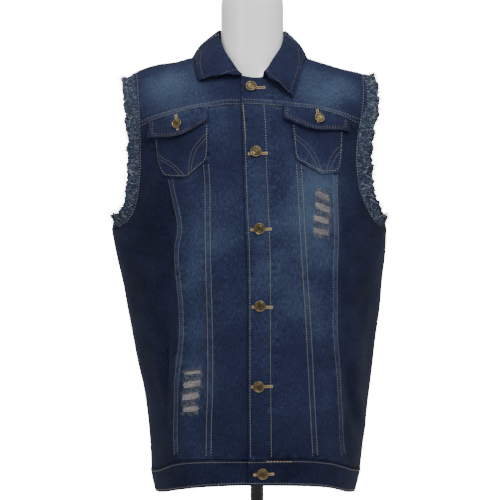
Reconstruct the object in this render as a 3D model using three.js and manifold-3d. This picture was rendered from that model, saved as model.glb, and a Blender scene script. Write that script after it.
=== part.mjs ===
// A sleeveless denim trucker vest with frayed armholes, worn by a limbless dress form on a pole.
// Millimetres, +Z up, the wearer faces -Y. "right" is the wearer's right side, which is -X.
// The origin is the centre of the base's underside.
import * as THREE from "three";
import { mergeVertices } from "three/addons/utils/BufferGeometryUtils.js";
import Module from "manifold-3d";

const wasm = await Module();
wasm.setup();

// Driving dimensions
const CLOTH = 1.6;
const BAND_CLOTH = 2.4;
const PATCH_CLOTH = 1.2;
const COLLAR_CLOTH = 2.0;
const SEAM_GAP = 0.3;
const UNDERARM_Z = 649;
const SHOULDER_ROLL = 90;
const NECK_CENTRE_Y = 2;
const NECK_RADIUS = 51;
const NECK_TOP_Z = 1027;
const FORM_GAP = 0.6;
const FORM_BOTTOM_Z = 312;
const OVERLAP_X = -6;
const UNDERLAP_X = 22;
const PLACKET_WIDTH = 38;
const BUTTON_RADIUS = 8.75;
const FLAP_BUTTON_RADIUS = 8;
const FRAY_BAND = 15;
const FRAY_LOCK = 12;
const FRAY_LOCKS = 60;
const POLE_RADIUS = 10.5;
const POLE_OFFSET_X = 8;
const BASE_RADIUS = 145;
const BASE_THICK = 9;

// The worn body at each height: half widths, half depths and how square the section is
const BODY = [
  { z: 215, right: 149, left: 157, front: 146, back: 142, square: 2.3 },
  { z: 250, right: 158, left: 169, front: 148, back: 146, square: 2.3 },
  { z: 278, right: 161, left: 174, front: 148, back: 147, square: 2.3 },
  { z: 326, right: 163, left: 178, front: 147, back: 143, square: 2.3 },
  { z: 390, right: 171, left: 187, front: 146, back: 138, square: 2.25 },
  { z: 454, right: 187, left: 195, front: 145, back: 134, square: 2.2 },
  { z: 518, right: 197, left: 203, front: 144, back: 132, square: 2.15 },
  { z: 582, right: 210, left: 210, front: 142, back: 133, square: 2.05 },
  { z: 625, right: 221, left: 214, front: 140, back: 135, square: 1.95 },
  { z: 649, right: 224, left: 215, front: 138, back: 136, square: 1.9 },
  { z: 672, right: 222, left: 213, front: 136, back: 136, square: 1.9 },
  { z: 700, right: 217, left: 209, front: 132, back: 136, square: 1.92 },
  { z: 760, right: 211, left: 204, front: 121, back: 132, square: 2.0 },
  { z: 803, right: 209, left: 204, front: 108, back: 124, square: 2.05 },
  { z: 840, right: 209, left: 206, front: 93, back: 113, square: 2.1 },
  { z: 876, right: 210, left: 208, front: 77, back: 100, square: 2.1 },
  { z: 905, right: 212, left: 208, front: 63, back: 87, square: 2.1 },
  { z: 960, right: 215, left: 210, front: 46, back: 66, square: 2.1 },
];

// How far the shoulder seam of the cloth rises above its straight slope
const SHOULDER_LIFT = [
  { x: -210, lift: 1.5 },
  { x: -189, lift: 4.6 },
  { x: -168, lift: 7 },
  { x: -150, lift: 6.5 },
  { x: -131, lift: 3 },
  { x: -121, lift: 1 },
  { x: -110, lift: 2.4 },
  { x: -92, lift: 0.4 },
  { x: -62, lift: 1.4 },
  { x: 0, lift: 0.6 },
  { x: 62, lift: 0.4 },
  { x: 125, lift: 0.2 },
  { x: 145, lift: 0.3 },
  { x: 158, lift: 1.6 },
  { x: 176, lift: 3 },
  { x: 205, lift: 9 },
];
const SHOULDER = { right: 929.5, left: 926.5, slope: 0.3, neckX: 62 };

// Where the seams run across the fronts, as x at each height
const INNER_SEAM = [
  { z: 250, right: -66.5, left: 98 },
  { z: 345, right: -66, left: 94 },
  { z: 405, right: -64, left: 91.5 },
  { z: 475, right: -64.5, left: 88 },
  { z: 560, right: -66.8, left: 82.5 },
  { z: 645, right: -68.2, left: 77.8 },
  { z: 722, right: -69.5, left: 74 },
  { z: 850, right: -75, left: 70 },
];
const OUTER_SEAM = [
  { z: 250, right: -113, left: 141 },
  { z: 345, right: -116, left: 134 },
  { z: 405, right: -114, left: 131.5 },
  { z: 460, right: -107, left: 127.5 },
  { z: 515, right: -105, left: 126 },
  { z: 560, right: -109, left: 126 },
  { z: 606, right: -114.5, left: 126.5 },
  { z: 645, right: -109, left: 129.5 },
  { z: 691, right: -117, left: 127 },
  { z: 722, right: -125, left: 126 },
  { z: 850, right: -132, left: 124 },
];
const BACK_SEAM = [
  { z: 250, half: 62 },
  { z: 850, half: 106 },
];

// The armhole's edge, as x at each height above the underarm
const ARMHOLE = [
  { z: 649, frontRight: -224, frontLeft: 215, backRight: -224, backLeft: 215 },
  { z: 653, frontRight: -207, frontLeft: 203, backRight: -211, backLeft: 205 },
  { z: 661, frontRight: -196, frontLeft: 193, backRight: -202, backLeft: 197 },
  { z: 672, frontRight: -189, frontLeft: 185, backRight: -196, backLeft: 191 },
  { z: 686, frontRight: -184.5, frontLeft: 177, backRight: -192, backLeft: 187 },
  { z: 704, frontRight: -181, frontLeft: 170, backRight: -188, backLeft: 184 },
  { z: 726, frontRight: -178, frontLeft: 165, backRight: -184, backLeft: 181 },
  { z: 760, frontRight: -178, frontLeft: 164, backRight: -182, backLeft: 178 },
  { z: 803, frontRight: -179, frontLeft: 168, backRight: -184, backLeft: 181 },
  { z: 835, frontRight: -181, frontLeft: 179, backRight: -187, backLeft: 185 },
  { z: 870, frontRight: -186, frontLeft: 183, backRight: -190, backLeft: 185 },
  { z: 900, frontRight: -189, frontLeft: 178, backRight: -189, backLeft: 178 },
];

// The level seams as z at each x of the front
const YOKE_SEAM = [
  { x: -195, z: 802 },
  { x: -179, z: 807 },
  { x: -159, z: 814.5 },
  { x: -127, z: 823 },
  { x: -96, z: 831 },
  { x: -60, z: 835 },
  { x: -21, z: 839 },
  { x: 6, z: 843 },
  { x: 28, z: 838 },
  { x: 45, z: 835 },
  { x: 101, z: 830 },
  { x: 144, z: 820 },
  { x: 169, z: 811 },
  { x: 195, z: 802 },
];
const WAIST_SEAM = [
  { turn: -90, z: 267 },
  { turn: -62, z: 273 },
  { turn: -42, z: 287 },
  { turn: -22, z: 293 },
  { turn: 0, z: 294 },
  { turn: 24, z: 294 },
  { turn: 40, z: 288 },
  { turn: 62, z: 274 },
  { turn: 90, z: 267 },
];
const HEM = [
  { turn: -90, z: 231 },
  { turn: -62, z: 236 },
  { turn: -42, z: 244 },
  { turn: -22, z: 251 },
  { turn: 0, z: 254 },
  { turn: 24, z: 252 },
  { turn: 42, z: 247 },
  { turn: 62, z: 236 },
  { turn: 90, z: 231 },
];
const BACK_YOKE_Z = 806;
const BACK_YOKE_SAG = 4;
const BACK_YOKE_HALF = 180;
const BACK_WAIST_DROP = 14;
const NECKLINE = [
  { x: 0, z: 886 },
  { x: 14, z: 885.5 },
  { x: 22, z: 887 },
  { x: 32, z: 892 },
  { x: 44, z: 903 },
  { x: 54, z: 917 },
  { x: 62, z: 930 },
];
const BACK_NECK_DROP = 16;

// Creases: soft troughs in the cloth. turn is in degrees from the middle of the front or back.
const CREASES = [
  { face: "front", turn1: -34, z1: 608, turn2: -52, z2: 325, width: 9, depth: 9 },
  { face: "front", turn1: -30.5, z1: 590, turn2: -46, z2: 350, width: 7, depth: -3.5 },
  { face: "front", turn1: -84, z1: 640, turn2: -38, z2: 604, width: 11, depth: 7 },
  { face: "front", turn1: -78, z1: 600, turn2: -60, z2: 520, width: 12, depth: 4 },
  { face: "front", turn1: -80, z1: 500, turn2: -64, z2: 350, width: 10, depth: 3.5 },
  { face: "front", turn1: 46, z1: 470, turn2: 58, z2: 290, width: 10, depth: 6 },
  { face: "front", turn1: 72, z1: 560, turn2: 66, z2: 330, width: 13, depth: 5 },
  { face: "front", turn1: 80, z1: 636, turn2: 46, z2: 600, width: 12, depth: 5 },
  { face: "front", turn1: 17, z1: 632, turn2: 31, z2: 615, width: 9, depth: 3 },
  { face: "front", turn1: 8, z1: 312, turn2: 20, z2: 306, width: 8, depth: 3.5 },
  { face: "back", turn1: -74, z1: 626, turn2: -40, z2: 560, width: 13, depth: 6 },
  { face: "back", turn1: 74, z1: 626, turn2: 42, z2: 570, width: 13, depth: 6 },
  { face: "back", turn1: -56, z1: 540, turn2: -44, z2: 320, width: 12, depth: 7 },
  { face: "back", turn1: 58, z1: 520, turn2: 44, z2: 310, width: 12, depth: 7 },
  { face: "back", turn1: -12, z1: 470, turn2: 14, z2: 452, width: 14, depth: 4 },
];
const CREASE_MM_PER_DEGREE = 2.6;

// Grid lines. PANEL_ROWS are heights before the seams bend them; YOKE_ROWS are shares of the rise.
const ROWS_BELOW_ARM = [290, 322, 360, 400, 442, 486, 530, 574, 614];
const ROWS_BESIDE_ARM = [649, 653, 661, 672, 687, 708, 736, 766, 798, 830];
const PANEL_ROWS = [...ROWS_BELOW_ARM, ...ROWS_BESIDE_ARM];
const ROWS_BENT_BELOW = 430;
const ROWS_BENT_ABOVE = 720;
const YOKE_ROWS = [0, 0.22, 0.42, 0.6, 0.74, 0.845, 0.915, 0.961, 0.99, 1];
const CENTRE_COLUMNS = { right: [0, 0.16, 0.31, 0.41, 0.7, 1], left: [0, 0.34, 0.67, 1] };
const MID_COLUMNS = [0, 0.34, 0.67, 1];
const SIDE_COLUMNS = [0, 0.1, 0.19, 0.3, 0.45, 0.62, 0.8, 1];
const BACK_COLUMNS = [0, 0.17, 0.33, 0.5, 0.67, 0.83, 1];
const BACK_SIDE_COLUMNS = [0, 0.14, 0.28, 0.43, 0.6, 0.8, 1];

const DEGREE = Math.PI / 180;
const mix = (a, b, part) => a + (b - a) * part;
const clamp = (value, low, high) => Math.min(Math.max(value, low), high);

// A smooth curve through one column of a table, straight beyond its ends.
function curveOf(rows, along, name) {
  const slopeAt = (i) => {
    const before = rows[Math.max(i - 1, 0)];
    const after = rows[Math.min(i + 1, rows.length - 1)];
    return (after[name] - before[name]) / (after[along] - before[along]);
  };
  return (place) => {
    let i = 0;
    while (i < rows.length - 2 && place > rows[i + 1][along]) i += 1;
    const low = rows[i];
    const high = rows[i + 1];
    const span = high[along] - low[along];
    const t = clamp((place - low[along]) / span, 0, 1);
    const bend = (1 - t) * (1 - t) * t * slopeAt(i) - t * t * (1 - t) * slopeAt(i + 1);
    return mix(low[name], high[name], t * t * (3 - 2 * t)) + span * bend;
  };
}

const body = {};
for (const name of ["right", "left", "front", "back", "square"]) body[name] = curveOf(BODY, "z", name);
const lift = curveOf(SHOULDER_LIFT, "x", "lift");
const yokeSeam = curveOf(YOKE_SEAM, "x", "z");
const backYokeSeam = (x) => BACK_YOKE_Z - BACK_YOKE_SAG * (x / BACK_YOKE_HALF) ** 2;
const yokeSeamOf = { front: yokeSeam, back: backYokeSeam };
const waistSeam = curveOf(WAIST_SEAM, "turn", "z");
const hem = curveOf(HEM, "turn", "z");
const neckline = curveOf(NECKLINE, "x", "z");
const innerSeam = { right: curveOf(INNER_SEAM, "z", "right"), left: curveOf(INNER_SEAM, "z", "left") };
const outerSeam = { right: curveOf(OUTER_SEAM, "z", "right"), left: curveOf(OUTER_SEAM, "z", "left") };
const backSeam = curveOf(BACK_SEAM, "z", "half");
const armhole = {
  front: { right: curveOf(ARMHOLE, "z", "frontRight"), left: curveOf(ARMHOLE, "z", "frontLeft") },
  back: { right: curveOf(ARMHOLE, "z", "backRight"), left: curveOf(ARMHOLE, "z", "backLeft") },
};

// The armhole's edge on each face; both faces end at the same point of the shoulder seam.
const SHOULDER_TIP = { right: -189, left: 178 };
const ARMHOLE_BLEND_Z = 868;
function armholeX(face, side, z) {
  const tip = SHOULDER_TIP[side];
  const share = clamp((z - ARMHOLE_BLEND_Z) / (ridge(tip) - ARMHOLE_BLEND_Z), 0, 1);
  return mix(armhole[face][side](z), tip, share);
}

// The straight slope that the form's shoulders have, and the cloth's shoulder seam above it.
function shoulderLine(x) {
  const start = x < 0 ? SHOULDER.right : SHOULDER.left;
  return start - SHOULDER.slope * (Math.abs(x) - SHOULDER.neckX);
}
const ridge = (x) => shoulderLine(x) + lift(x);

function rollOver(depthBelowRidge) {
  const part = clamp(1 - depthBelowRidge / SHOULDER_ROLL, 0, 1);
  return Math.sqrt(1 - part * part);
}

// How far the creases push the cloth in at one place.
function creaseDepth(turn, z, face) {
  let sum = 0;
  for (const crease of CREASES) {
    if (crease.face !== face) continue;
    const alongX = (crease.turn2 - crease.turn1) * CREASE_MM_PER_DEGREE;
    const alongZ = crease.z2 - crease.z1;
    const x = (turn / DEGREE - crease.turn1) * CREASE_MM_PER_DEGREE;
    const length = Math.hypot(alongX, alongZ);
    const t = (x * alongX + (z - crease.z1) * alongZ) / (length * length);
    if (t <= 0 || t >= 1) continue;
    const across = (x * alongZ - (z - crease.z1) * alongX) / length;
    sum += crease.depth * Math.exp(-((across / crease.width) ** 2)) * Math.sin(Math.PI * t) ** 0.7;
  }
  return sum;
}

// A point of the worn cloth. turn runs from -90 to 90 degrees about the middle of its face.
function bodyPoint(turn, z, face) {
  const power = 2 / body.square(z);
  const x = Math.sign(turn) * body[turn < 0 ? "right" : "left"](z) * Math.abs(Math.sin(turn)) ** power;
  const out = face === "front" ? -1 : 1;
  const depth = body[face](z) * Math.max(Math.cos(turn), 0) ** power * rollOver(ridge(x) - z);
  const push = creaseDepth(turn, z, face);
  return new THREE.Vector3(x - push * Math.sin(turn), out * (depth - push * Math.cos(turn)), z);
}

// The turn at which the cloth has a given x.
function turnAt(x, z) {
  const part = Math.min(Math.abs(x) / body[x < 0 ? "right" : "left"](z), 1);
  return Math.sign(x) * Math.asin(part ** (body.square(z) / 2));
}

// The cloth's outward direction at a place that a panel's own map gives.
function outwardAt(map, u, v) {
  const step = 2e-4;
  const at = (a, b) => map(clamp(a, 0, 1), clamp(b, 0, 1));
  const alongU = at(u + step, v).sub(at(u - step, v));
  const alongV = at(u, v + step).sub(at(u, v - step));
  const normal = alongU.cross(alongV).normalize();
  const here = map(u, v);
  const outward = new THREE.Vector3(here.x, here.y, rollOver(ridge(here.x) - here.z) < 0.3 ? 60 : 0);
  return normal.dot(outward) < 0 ? normal.negate() : normal;
}

// Grids: points and outward directions of a sheet, with half the seam gap taken off each edge.
// extra widens the gap at the top edge, where the neighbour's facets have other corners.
function sheetGrid(map, columns, rows, extra = 0) {
  const spot = columns.map((u) => rows.map((v) => map(u, v)));
  const normal = columns.map((u) => rows.map((v) => outwardAt(map, u, v)));
  const moved = spot.map((column) => column.map((p) => p.clone()));
  const last = { i: columns.length - 1, j: rows.length - 1 };
  const pull = (i, j, ni, nj, ai, aj, bi, bj, more = 0) => {
    const inward = spot[ni][nj].clone().sub(spot[i][j]);
    const edge = spot[bi][bj].clone().sub(spot[ai][aj]).normalize();
    inward.addScaledVector(edge, -inward.dot(edge)).normalize();
    moved[i][j].addScaledVector(inward, SEAM_GAP / 2 + more);
  };
  for (let j = 0; j <= last.j; j += 1) {
    const a = Math.max(j - 1, 0);
    const b = Math.min(j + 1, last.j);
    pull(0, j, 1, j, 0, a, 0, b);
    pull(last.i, j, last.i - 1, j, last.i, a, last.i, b);
  }
  for (let i = 0; i <= last.i; i += 1) {
    const a = Math.max(i - 1, 0);
    const b = Math.min(i + 1, last.i);
    pull(i, 0, i, 1, a, 0, b, 0);
    pull(i, last.j, i, last.j - 1, a, last.j, b, last.j, extra);
  }
  return { spot: moved, normal };
}

// A closed solid between two faces that lie off a grid of points along their outward directions.
function wallSolid({ spot, normal }, inner, outer, joined = false) {
  const offset = (value, i, j) => (typeof value === "function" ? value(i, j) : value);
  const positions = [];
  const faces = [];
  const counts = { i: spot.length, j: spot[0].length };
  const index = (side, i, j) => (side * counts.i + (i % counts.i)) * counts.j + j;
  for (const value of [inner, outer])
    for (let i = 0; i < counts.i; i += 1)
      for (let j = 0; j < counts.j; j += 1)
        positions.push(...spot[i][j].clone().addScaledVector(normal[i][j], offset(value, i, j)).toArray());
  const quad = (a, b, c, d) => faces.push(a, b, c, a, c, d);
  const lastColumn = joined ? counts.i : counts.i - 1;
  for (let i = 0; i < lastColumn; i += 1) {
    for (let j = 0; j < counts.j - 1; j += 1) {
      quad(index(1, i, j), index(1, i + 1, j), index(1, i + 1, j + 1), index(1, i, j + 1));
      quad(index(0, i, j), index(0, i, j + 1), index(0, i + 1, j + 1), index(0, i + 1, j));
    }
    quad(index(0, i, 0), index(0, i + 1, 0), index(1, i + 1, 0), index(1, i, 0));
    const top = counts.j - 1;
    quad(index(1, i, top), index(1, i + 1, top), index(0, i + 1, top), index(0, i, top));
  }
  if (!joined)
    for (let j = 0; j < counts.j - 1; j += 1) {
      const end = counts.i - 1;
      quad(index(0, 0, j), index(1, 0, j), index(1, 0, j + 1), index(0, 0, j + 1));
      quad(index(1, end, j), index(0, end, j), index(0, end, j + 1), index(1, end, j + 1));
    }
  return outwardGeometry(positions, faces);
}

// A geometry of triangles turned so that they enclose a positive volume.
function outwardGeometry(positions, faces) {
  const corner = (k) => new THREE.Vector3().fromArray(positions, faces[k] * 3);
  let volume = 0;
  for (let k = 0; k < faces.length; k += 3) volume += corner(k).dot(corner(k + 1).cross(corner(k + 2)));
  if (volume < 0) faces.reverse();
  const geometry = new THREE.BufferGeometry();
  geometry.setAttribute("position", new THREE.Float32BufferAttribute(positions, 3));
  geometry.setIndex(faces);
  return geometry;
}

// Booleans
function toSolid(geometry) {
  const bare = geometry.clone();
  bare.deleteAttribute("normal");
  bare.deleteAttribute("uv");
  const merged = mergeVertices(bare, 1e-4);
  return new wasm.Manifold(
    new wasm.Mesh({
      numProp: 3,
      vertProperties: merged.attributes.position.array,
      triVerts: new Uint32Array(merged.index.array),
    }),
  );
}

function fromSolid(solid) {
  const mesh = solid.getMesh();
  const geometry = new THREE.BufferGeometry();
  geometry.setAttribute("position", new THREE.BufferAttribute(mesh.vertProperties, 3));
  geometry.setIndex(new THREE.BufferAttribute(mesh.triVerts, 1));
  return geometry;
}

// A prism along Y over an outline of x and z points.
function prism(outline, { from, to }) {
  const shape = new THREE.Shape(outline.map(({ x, z }) => new THREE.Vector2(x, z)));
  const geometry = new THREE.ExtrudeGeometry(shape, { depth: to - from, bevelEnabled: false });
  return geometry.rotateX(Math.PI / 2).translate(0, to, 0);
}

// Materials
const denim = (color) => new THREE.MeshStandardMaterial({ color, roughness: 0.92, metalness: 0 });
const DARK_DENIM = denim(0x2f4055);
const FADED_DENIM = denim(0x54708c);
const FRAYED_DENIM = denim(0x5d6f84);
const BRASS = new THREE.MeshStandardMaterial({ color: 0x7d6238, roughness: 0.42, metalness: 0.85 });
const WHITE_GLOSS = new THREE.MeshStandardMaterial({ color: 0xeceae6, roughness: 0.22, metalness: 0 });
const BLACK_STEEL = new THREE.MeshStandardMaterial({ color: 0x15161a, roughness: 0.4, metalness: 0.6 });

const vest = new THREE.Group();
vest.position.x = -POLE_OFFSET_X;
function addTo(group, name, geometry, material) {
  const mesh = new THREE.Mesh(geometry, material);
  mesh.name = name;
  group.add(mesh);
  return mesh;
}

// The cloth's edge at the armhole, or at the side seam below the underarm, as a turn.
function outerTurn(z, face, side) {
  const sign = side === "right" ? -1 : 1;
  return z <= UNDERARM_Z ? sign * 90 * DEGREE : turnAt(armholeX(face, side, z), z);
}

// How far each level row is bent to follow the seam at the panels' bottom and top.
function panelHeight(level, turn, face) {
  const [bottom, top] = [PANEL_ROWS[0], PANEL_ROWS.at(-1)];
  const waist = waistSeam(turn / DEGREE) - (face === "back" ? BACK_WAIST_DROP * Math.cos(turn) : 0);
  const yoke = yokeSeamOf[face](bodyPoint(turn, level, face).x);
  const low = clamp((ROWS_BENT_BELOW - level) / (ROWS_BENT_BELOW - bottom), 0, 1) * (waist - bottom);
  const high = clamp((level - ROWS_BENT_ABOVE) / (top - ROWS_BENT_ABOVE), 0, 1) * (yoke - top);
  return level + low + high;
}

// The map of a panel between two edges that are turns at each height.
function panelMap(face, fromTurn, toTurn) {
  return (u, v) => {
    const place = v * (PANEL_ROWS.length - 1);
    const row = Math.min(Math.floor(place), PANEL_ROWS.length - 2);
    const level = mix(PANEL_ROWS[row], PANEL_ROWS[row + 1], place - row);
    let z = level;
    let turn = 0;
    for (let pass = 0; pass < 6; pass += 1) {
      turn = mix(fromTurn(z), toTurn(z), u);
      z = panelHeight(level, turn, face);
    }
    return bodyPoint(turn, z, face);
  };
}
const PANEL_STEPS = PANEL_ROWS.map((_, row) => row / (PANEL_ROWS.length - 1));

const seamTurns = {};
for (const side of ["right", "left"]) {
  const centre = side === "right" ? UNDERLAP_X : OVERLAP_X + PLACKET_WIDTH;
  seamTurns[side] = {
    centre: (z) => turnAt(centre, z),
    inner: (z) => turnAt(innerSeam[side](z), z),
    outer: (z) => turnAt(outerSeam[side](z), z),
    edge: (z) => outerTurn(z, "front", side),
    backInner: (z) => turnAt((side === "right" ? -1 : 1) * backSeam(z), z),
    backEdge: (z) => outerTurn(z, "back", side),
  };
}

// The wearer's right front passes under the placket, so it steps in just before the placket's edge.
const LAP_STEP = 2.9;
const LAP_STEP_STARTS = 9;
const LAP_STEP_WIDTH = 8;
const lapUnder = (x) => LAP_STEP * clamp((x - OVERLAP_X + LAP_STEP_STARTS) / LAP_STEP_WIDTH, 0, 1);

// Front panels, in three gores a side
function goresOf(side) {
  const turns = seamTurns[side];
  return [
    { gore: "centre", map: panelMap("front", turns.centre, turns.inner), columns: CENTRE_COLUMNS[side] },
    { gore: "mid", map: panelMap("front", turns.inner, turns.outer), columns: MID_COLUMNS },
    { gore: "side", map: panelMap("front", turns.outer, turns.edge), columns: SIDE_COLUMNS },
  ];
}
const panelGrids = {};
for (const side of ["right", "left"])
  for (const { gore, map, columns } of goresOf(side))
    panelGrids[`${gore}_${side}`] = sheetGrid(map, columns, PANEL_STEPS);

const lapShift = (grid, face) => (i, j) => face - lapUnder(grid.spot[i][j].x);
function frontPanel(name, grid, isUnder, material) {
  const inner = isUnder ? lapShift(grid, -CLOTH / 2) : -CLOTH / 2;
  const outer = isUnder ? lapShift(grid, CLOTH / 2) : CLOTH / 2;
  return addTo(vest, name, wallSolid(grid, inner, outer), material);
}
frontPanel("front_centre_right", panelGrids.centre_right, true, FADED_DENIM);
frontPanel("front_centre_left", panelGrids.centre_left, false, FADED_DENIM);
frontPanel("front_side_right", panelGrids.side_right, false, DARK_DENIM);
frontPanel("front_side_left", panelGrids.side_left, false, DARK_DENIM);

// Worn slits across the mid gores, cut through between their white weft threads
const FRONT_CUT = { from: -170, to: -20 };
const SLIT_STEPS = 10;
const SLITS = {
  right: { x: -93, topZ: 427, pitch: 19, count: 4, length: 29, height: 7, rise: 3.5 },
  left: { x: 109, topZ: 697, pitch: 18.5, count: 4, length: 25, height: 7, rise: -11 },
};
function slitOutline(row, index) {
  const outline = [];
  for (let k = 0; k < SLIT_STEPS; k += 1) {
    const angle = (k / SLIT_STEPS) * 2 * Math.PI;
    const x = (Math.cos(angle) * row.length) / 2;
    const z = (Math.sin(angle) * row.height) / 2;
    outline.push({ x: row.x + x, z: row.topZ - index * row.pitch + z + (x / row.length) * row.rise });
  }
  return outline;
}
for (const side of ["right", "left"]) {
  let solid = toSolid(wallSolid(panelGrids[`mid_${side}`], -CLOTH / 2, CLOTH / 2));
  const row = SLITS[side];
  for (let index = 0; index < row.count; index += 1)
    solid = solid.subtract(toSolid(prism(slitOutline(row, index), FRONT_CUT)));
  addTo(vest, `front_mid_${side}`, fromSolid(solid), FADED_DENIM);
}

// Back panels
const backMap = panelMap("back", seamTurns.right.backInner, seamTurns.left.backInner);
const backGrid = sheetGrid(backMap, BACK_COLUMNS, PANEL_STEPS);
addTo(vest, "back_centre", wallSolid(backGrid, -CLOTH / 2, CLOTH / 2), FADED_DENIM);
const backSideMap = {};
for (const side of ["right", "left"]) {
  backSideMap[side] = panelMap("back", seamTurns[side].backInner, seamTurns[side].backEdge);
  const grid = sheetGrid(backSideMap[side], BACK_SIDE_COLUMNS, PANEL_STEPS);
  addTo(vest, `back_side_${side}`, wallSolid(grid, -CLOTH / 2, CLOTH / 2), DARK_DENIM);
}

// Yokes. Each column starts on a panel's column and ends at the neckline or at the shoulder seam.
function topHeight(x, face) {
  if (Math.abs(x) >= SHOULDER.neckX) return ridge(x);
  const neckPoint = ridge(x < 0 ? -SHOULDER.neckX : SHOULDER.neckX);
  if (face === "back") return neckPoint - BACK_NECK_DROP * (1 - (x / SHOULDER.neckX) ** 2);
  return neckPoint + neckline(Math.abs(x)) - NECKLINE.at(-1).z;
}

// starts and ends are the x of each column at the yoke's bottom and top; an end may be an armhole.
function yokeMap(face, starts, ends, lowEdge, highEdge) {
  const count = starts.length - 1;
  const seam = yokeSeamOf[face];
  return (u, v) => {
    const place = u * count;
    const column = Math.min(Math.floor(place), count - 1);
    const at = (list) => mix(list[column], list[column + 1], place - column);
    const bottom = at(starts);
    const top = at(ends);
    const z = mix(seam(bottom), topHeight(top, face), v);
    let x = mix(bottom, top, v);
    const straight = (list, k, s) => mix(starts[k], list[k], s);
    const low = straight(ends, 0, v);
    const high = straight(ends, count, v);
    const share = (x - low) / (high - low);
    x += (1 - share) * (lowEdge ? lowEdge(z) - low : 0) + share * (highEdge ? highEdge(z) - high : 0);
    return bodyPoint(turnAt(x, z), Math.min(z, ridge(x)), face);
  };
}

// The x of every column of the panels below, along the yoke seam.
function seamStarts(gores) {
  const xs = [];
  for (const { map, columns } of gores)
    for (const u of columns) {
      const x = map(u, 1).x;
      if (!xs.length || Math.abs(x - xs.at(-1)) > 1e-6) xs.push(x);
    }
  return xs;
}
function spread(from, to, count) {
  return Array.from({ length: count + 1 }, (_, k) => mix(from, to, k / count));
}

// Columns up to the neck point, and how far the ones that pass under the placket lean towards it
const NECK_COLUMN = { right: 6, left: 3 };
const UNDER_PLACKET_COLUMNS = 4;
const UNDER_PLACKET_LEAN = 0.4;
const YOKE_TOP_EXTRA = 0.15;
for (const side of ["right", "left"]) {
  const starts = seamStarts(goresOf(side));
  const neck = (side === "right" ? -1 : 1) * SHOULDER.neckX;
  const toNeck = spread(starts[0], neck, NECK_COLUMN[side]);
  const toTip = spread(neck, SHOULDER_TIP[side], starts.length - 1 - NECK_COLUMN[side]);
  const ends = [...toNeck, ...toTip.slice(1)];
  if (side === "right")
    for (let k = 0; k < UNDER_PLACKET_COLUMNS; k += 1) ends[k] = mix(starts[k], ends[k], UNDER_PLACKET_LEAN);
  const map = yokeMap("front", starts, ends, null, (z) => armholeX("front", side, z));
  const columns = starts.map((_, k) => k / (starts.length - 1));
  const grid = sheetGrid(map, columns, YOKE_ROWS, YOKE_TOP_EXTRA);
  frontPanel(`yoke_front_${side}`, grid, side === "right", FADED_DENIM);
}

const backStarts = seamStarts([
  {
    map: panelMap("back", seamTurns.right.backEdge, seamTurns.right.backInner),
    columns: BACK_SIDE_COLUMNS.map((u) => 1 - u).reverse(),
  },
  { map: backMap, columns: BACK_COLUMNS },
  { map: backSideMap.left, columns: BACK_SIDE_COLUMNS },
]);
const sideCount = BACK_SIDE_COLUMNS.length - 1;
const backEnds = [
  ...spread(SHOULDER_TIP.right, -SHOULDER.neckX, sideCount),
  ...spread(-SHOULDER.neckX, SHOULDER.neckX, BACK_COLUMNS.length - 1).slice(1),
  ...spread(SHOULDER.neckX, SHOULDER_TIP.left, sideCount).slice(1),
];
const backEdges = ["right", "left"].map((side) => (z) => armholeX("back", side, z));
const backYokeMap = yokeMap("back", backStarts, backEnds, ...backEdges);
const backYokeColumns = backStarts.map((_, k) => k / (backStarts.length - 1));
const backYokeGrid = sheetGrid(backYokeMap, backYokeColumns, YOKE_ROWS, YOKE_TOP_EXTRA);
addTo(vest, "yoke_back", wallSolid(backYokeGrid, -CLOTH / 2, CLOTH / 2), FADED_DENIM);

// The placket on the wearer's left front, from the waistband to the neckline. It rises a little
// towards its free edge. PLACKET_SEAM is the share of its rows that lies below the yoke seam.
const PLACKET_RISE = 0.5;
const PLACKET_SEAM = 2 / 3;
const PLACKET_ROWS = [
  ...PANEL_STEPS.map((v) => v * PLACKET_SEAM),
  ...YOKE_ROWS.slice(1).map((v) => mix(PLACKET_SEAM, 1, v)),
];
function placketMap(u, v) {
  const x = mix(OVERLAP_X, OVERLAP_X + PLACKET_WIDTH - SEAM_GAP / 2, u);
  if (v > PLACKET_SEAM) {
    const z = mix(yokeSeam(x), topHeight(x, "front"), (v - PLACKET_SEAM) / (1 - PLACKET_SEAM));
    return bodyPoint(turnAt(x, z), z, "front");
  }
  return panelMap("front", (z) => turnAt(x, z), (z) => turnAt(x + 1, z))(0, v / PLACKET_SEAM);
}
const placketGrid = sheetGrid(placketMap, [0, 0.35, 0.7, 1], PLACKET_ROWS);
const placketFace = (offset) => (i) => offset + PLACKET_RISE * (1 - i / 3);
const placket = wallSolid(placketGrid, placketFace(-CLOTH / 2), placketFace(BAND_CLOTH - CLOTH / 2));
addTo(vest, "placket", placket, FADED_DENIM);

// The waistband: one strip all round, whose left end laps over its right end at the front
const BAND_STEPS = 60;
const BAND_LAP_SHARE = 30 / 960;
const BAND_MID_Z = 270;
const BAND_TOP_EXTRA = 0.25;
const BAND_TUCK = { starts: 0.965, width: 0.03, depth: BAND_CLOTH + 1.1 };
const BAND_RISE_SHARE = 12;
function bandMap(u, v) {
  const round = u * (1 + BAND_LAP_SHARE);
  const start = turnAt(OVERLAP_X, BAND_MID_Z) / DEGREE;
  const degrees = start + round * 360;
  const whole = ((degrees + 90) % 360 + 360) % 360 - 90;
  const face = whole <= 90 ? "front" : "back";
  const turn = face === "front" ? whole : 180 - whole;
  const drop = face === "back" ? BACK_WAIST_DROP * Math.cos(turn * DEGREE) : 0;
  const z = mix(hem(turn), waistSeam(turn), v) - drop;
  return bodyPoint(turn * DEGREE, z, face);
}
const bandColumns = spread(0, 1, BAND_STEPS);
const bandGrid = sheetGrid(bandMap, bandColumns, [0, 0.5, 1], BAND_TOP_EXTRA);
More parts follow.
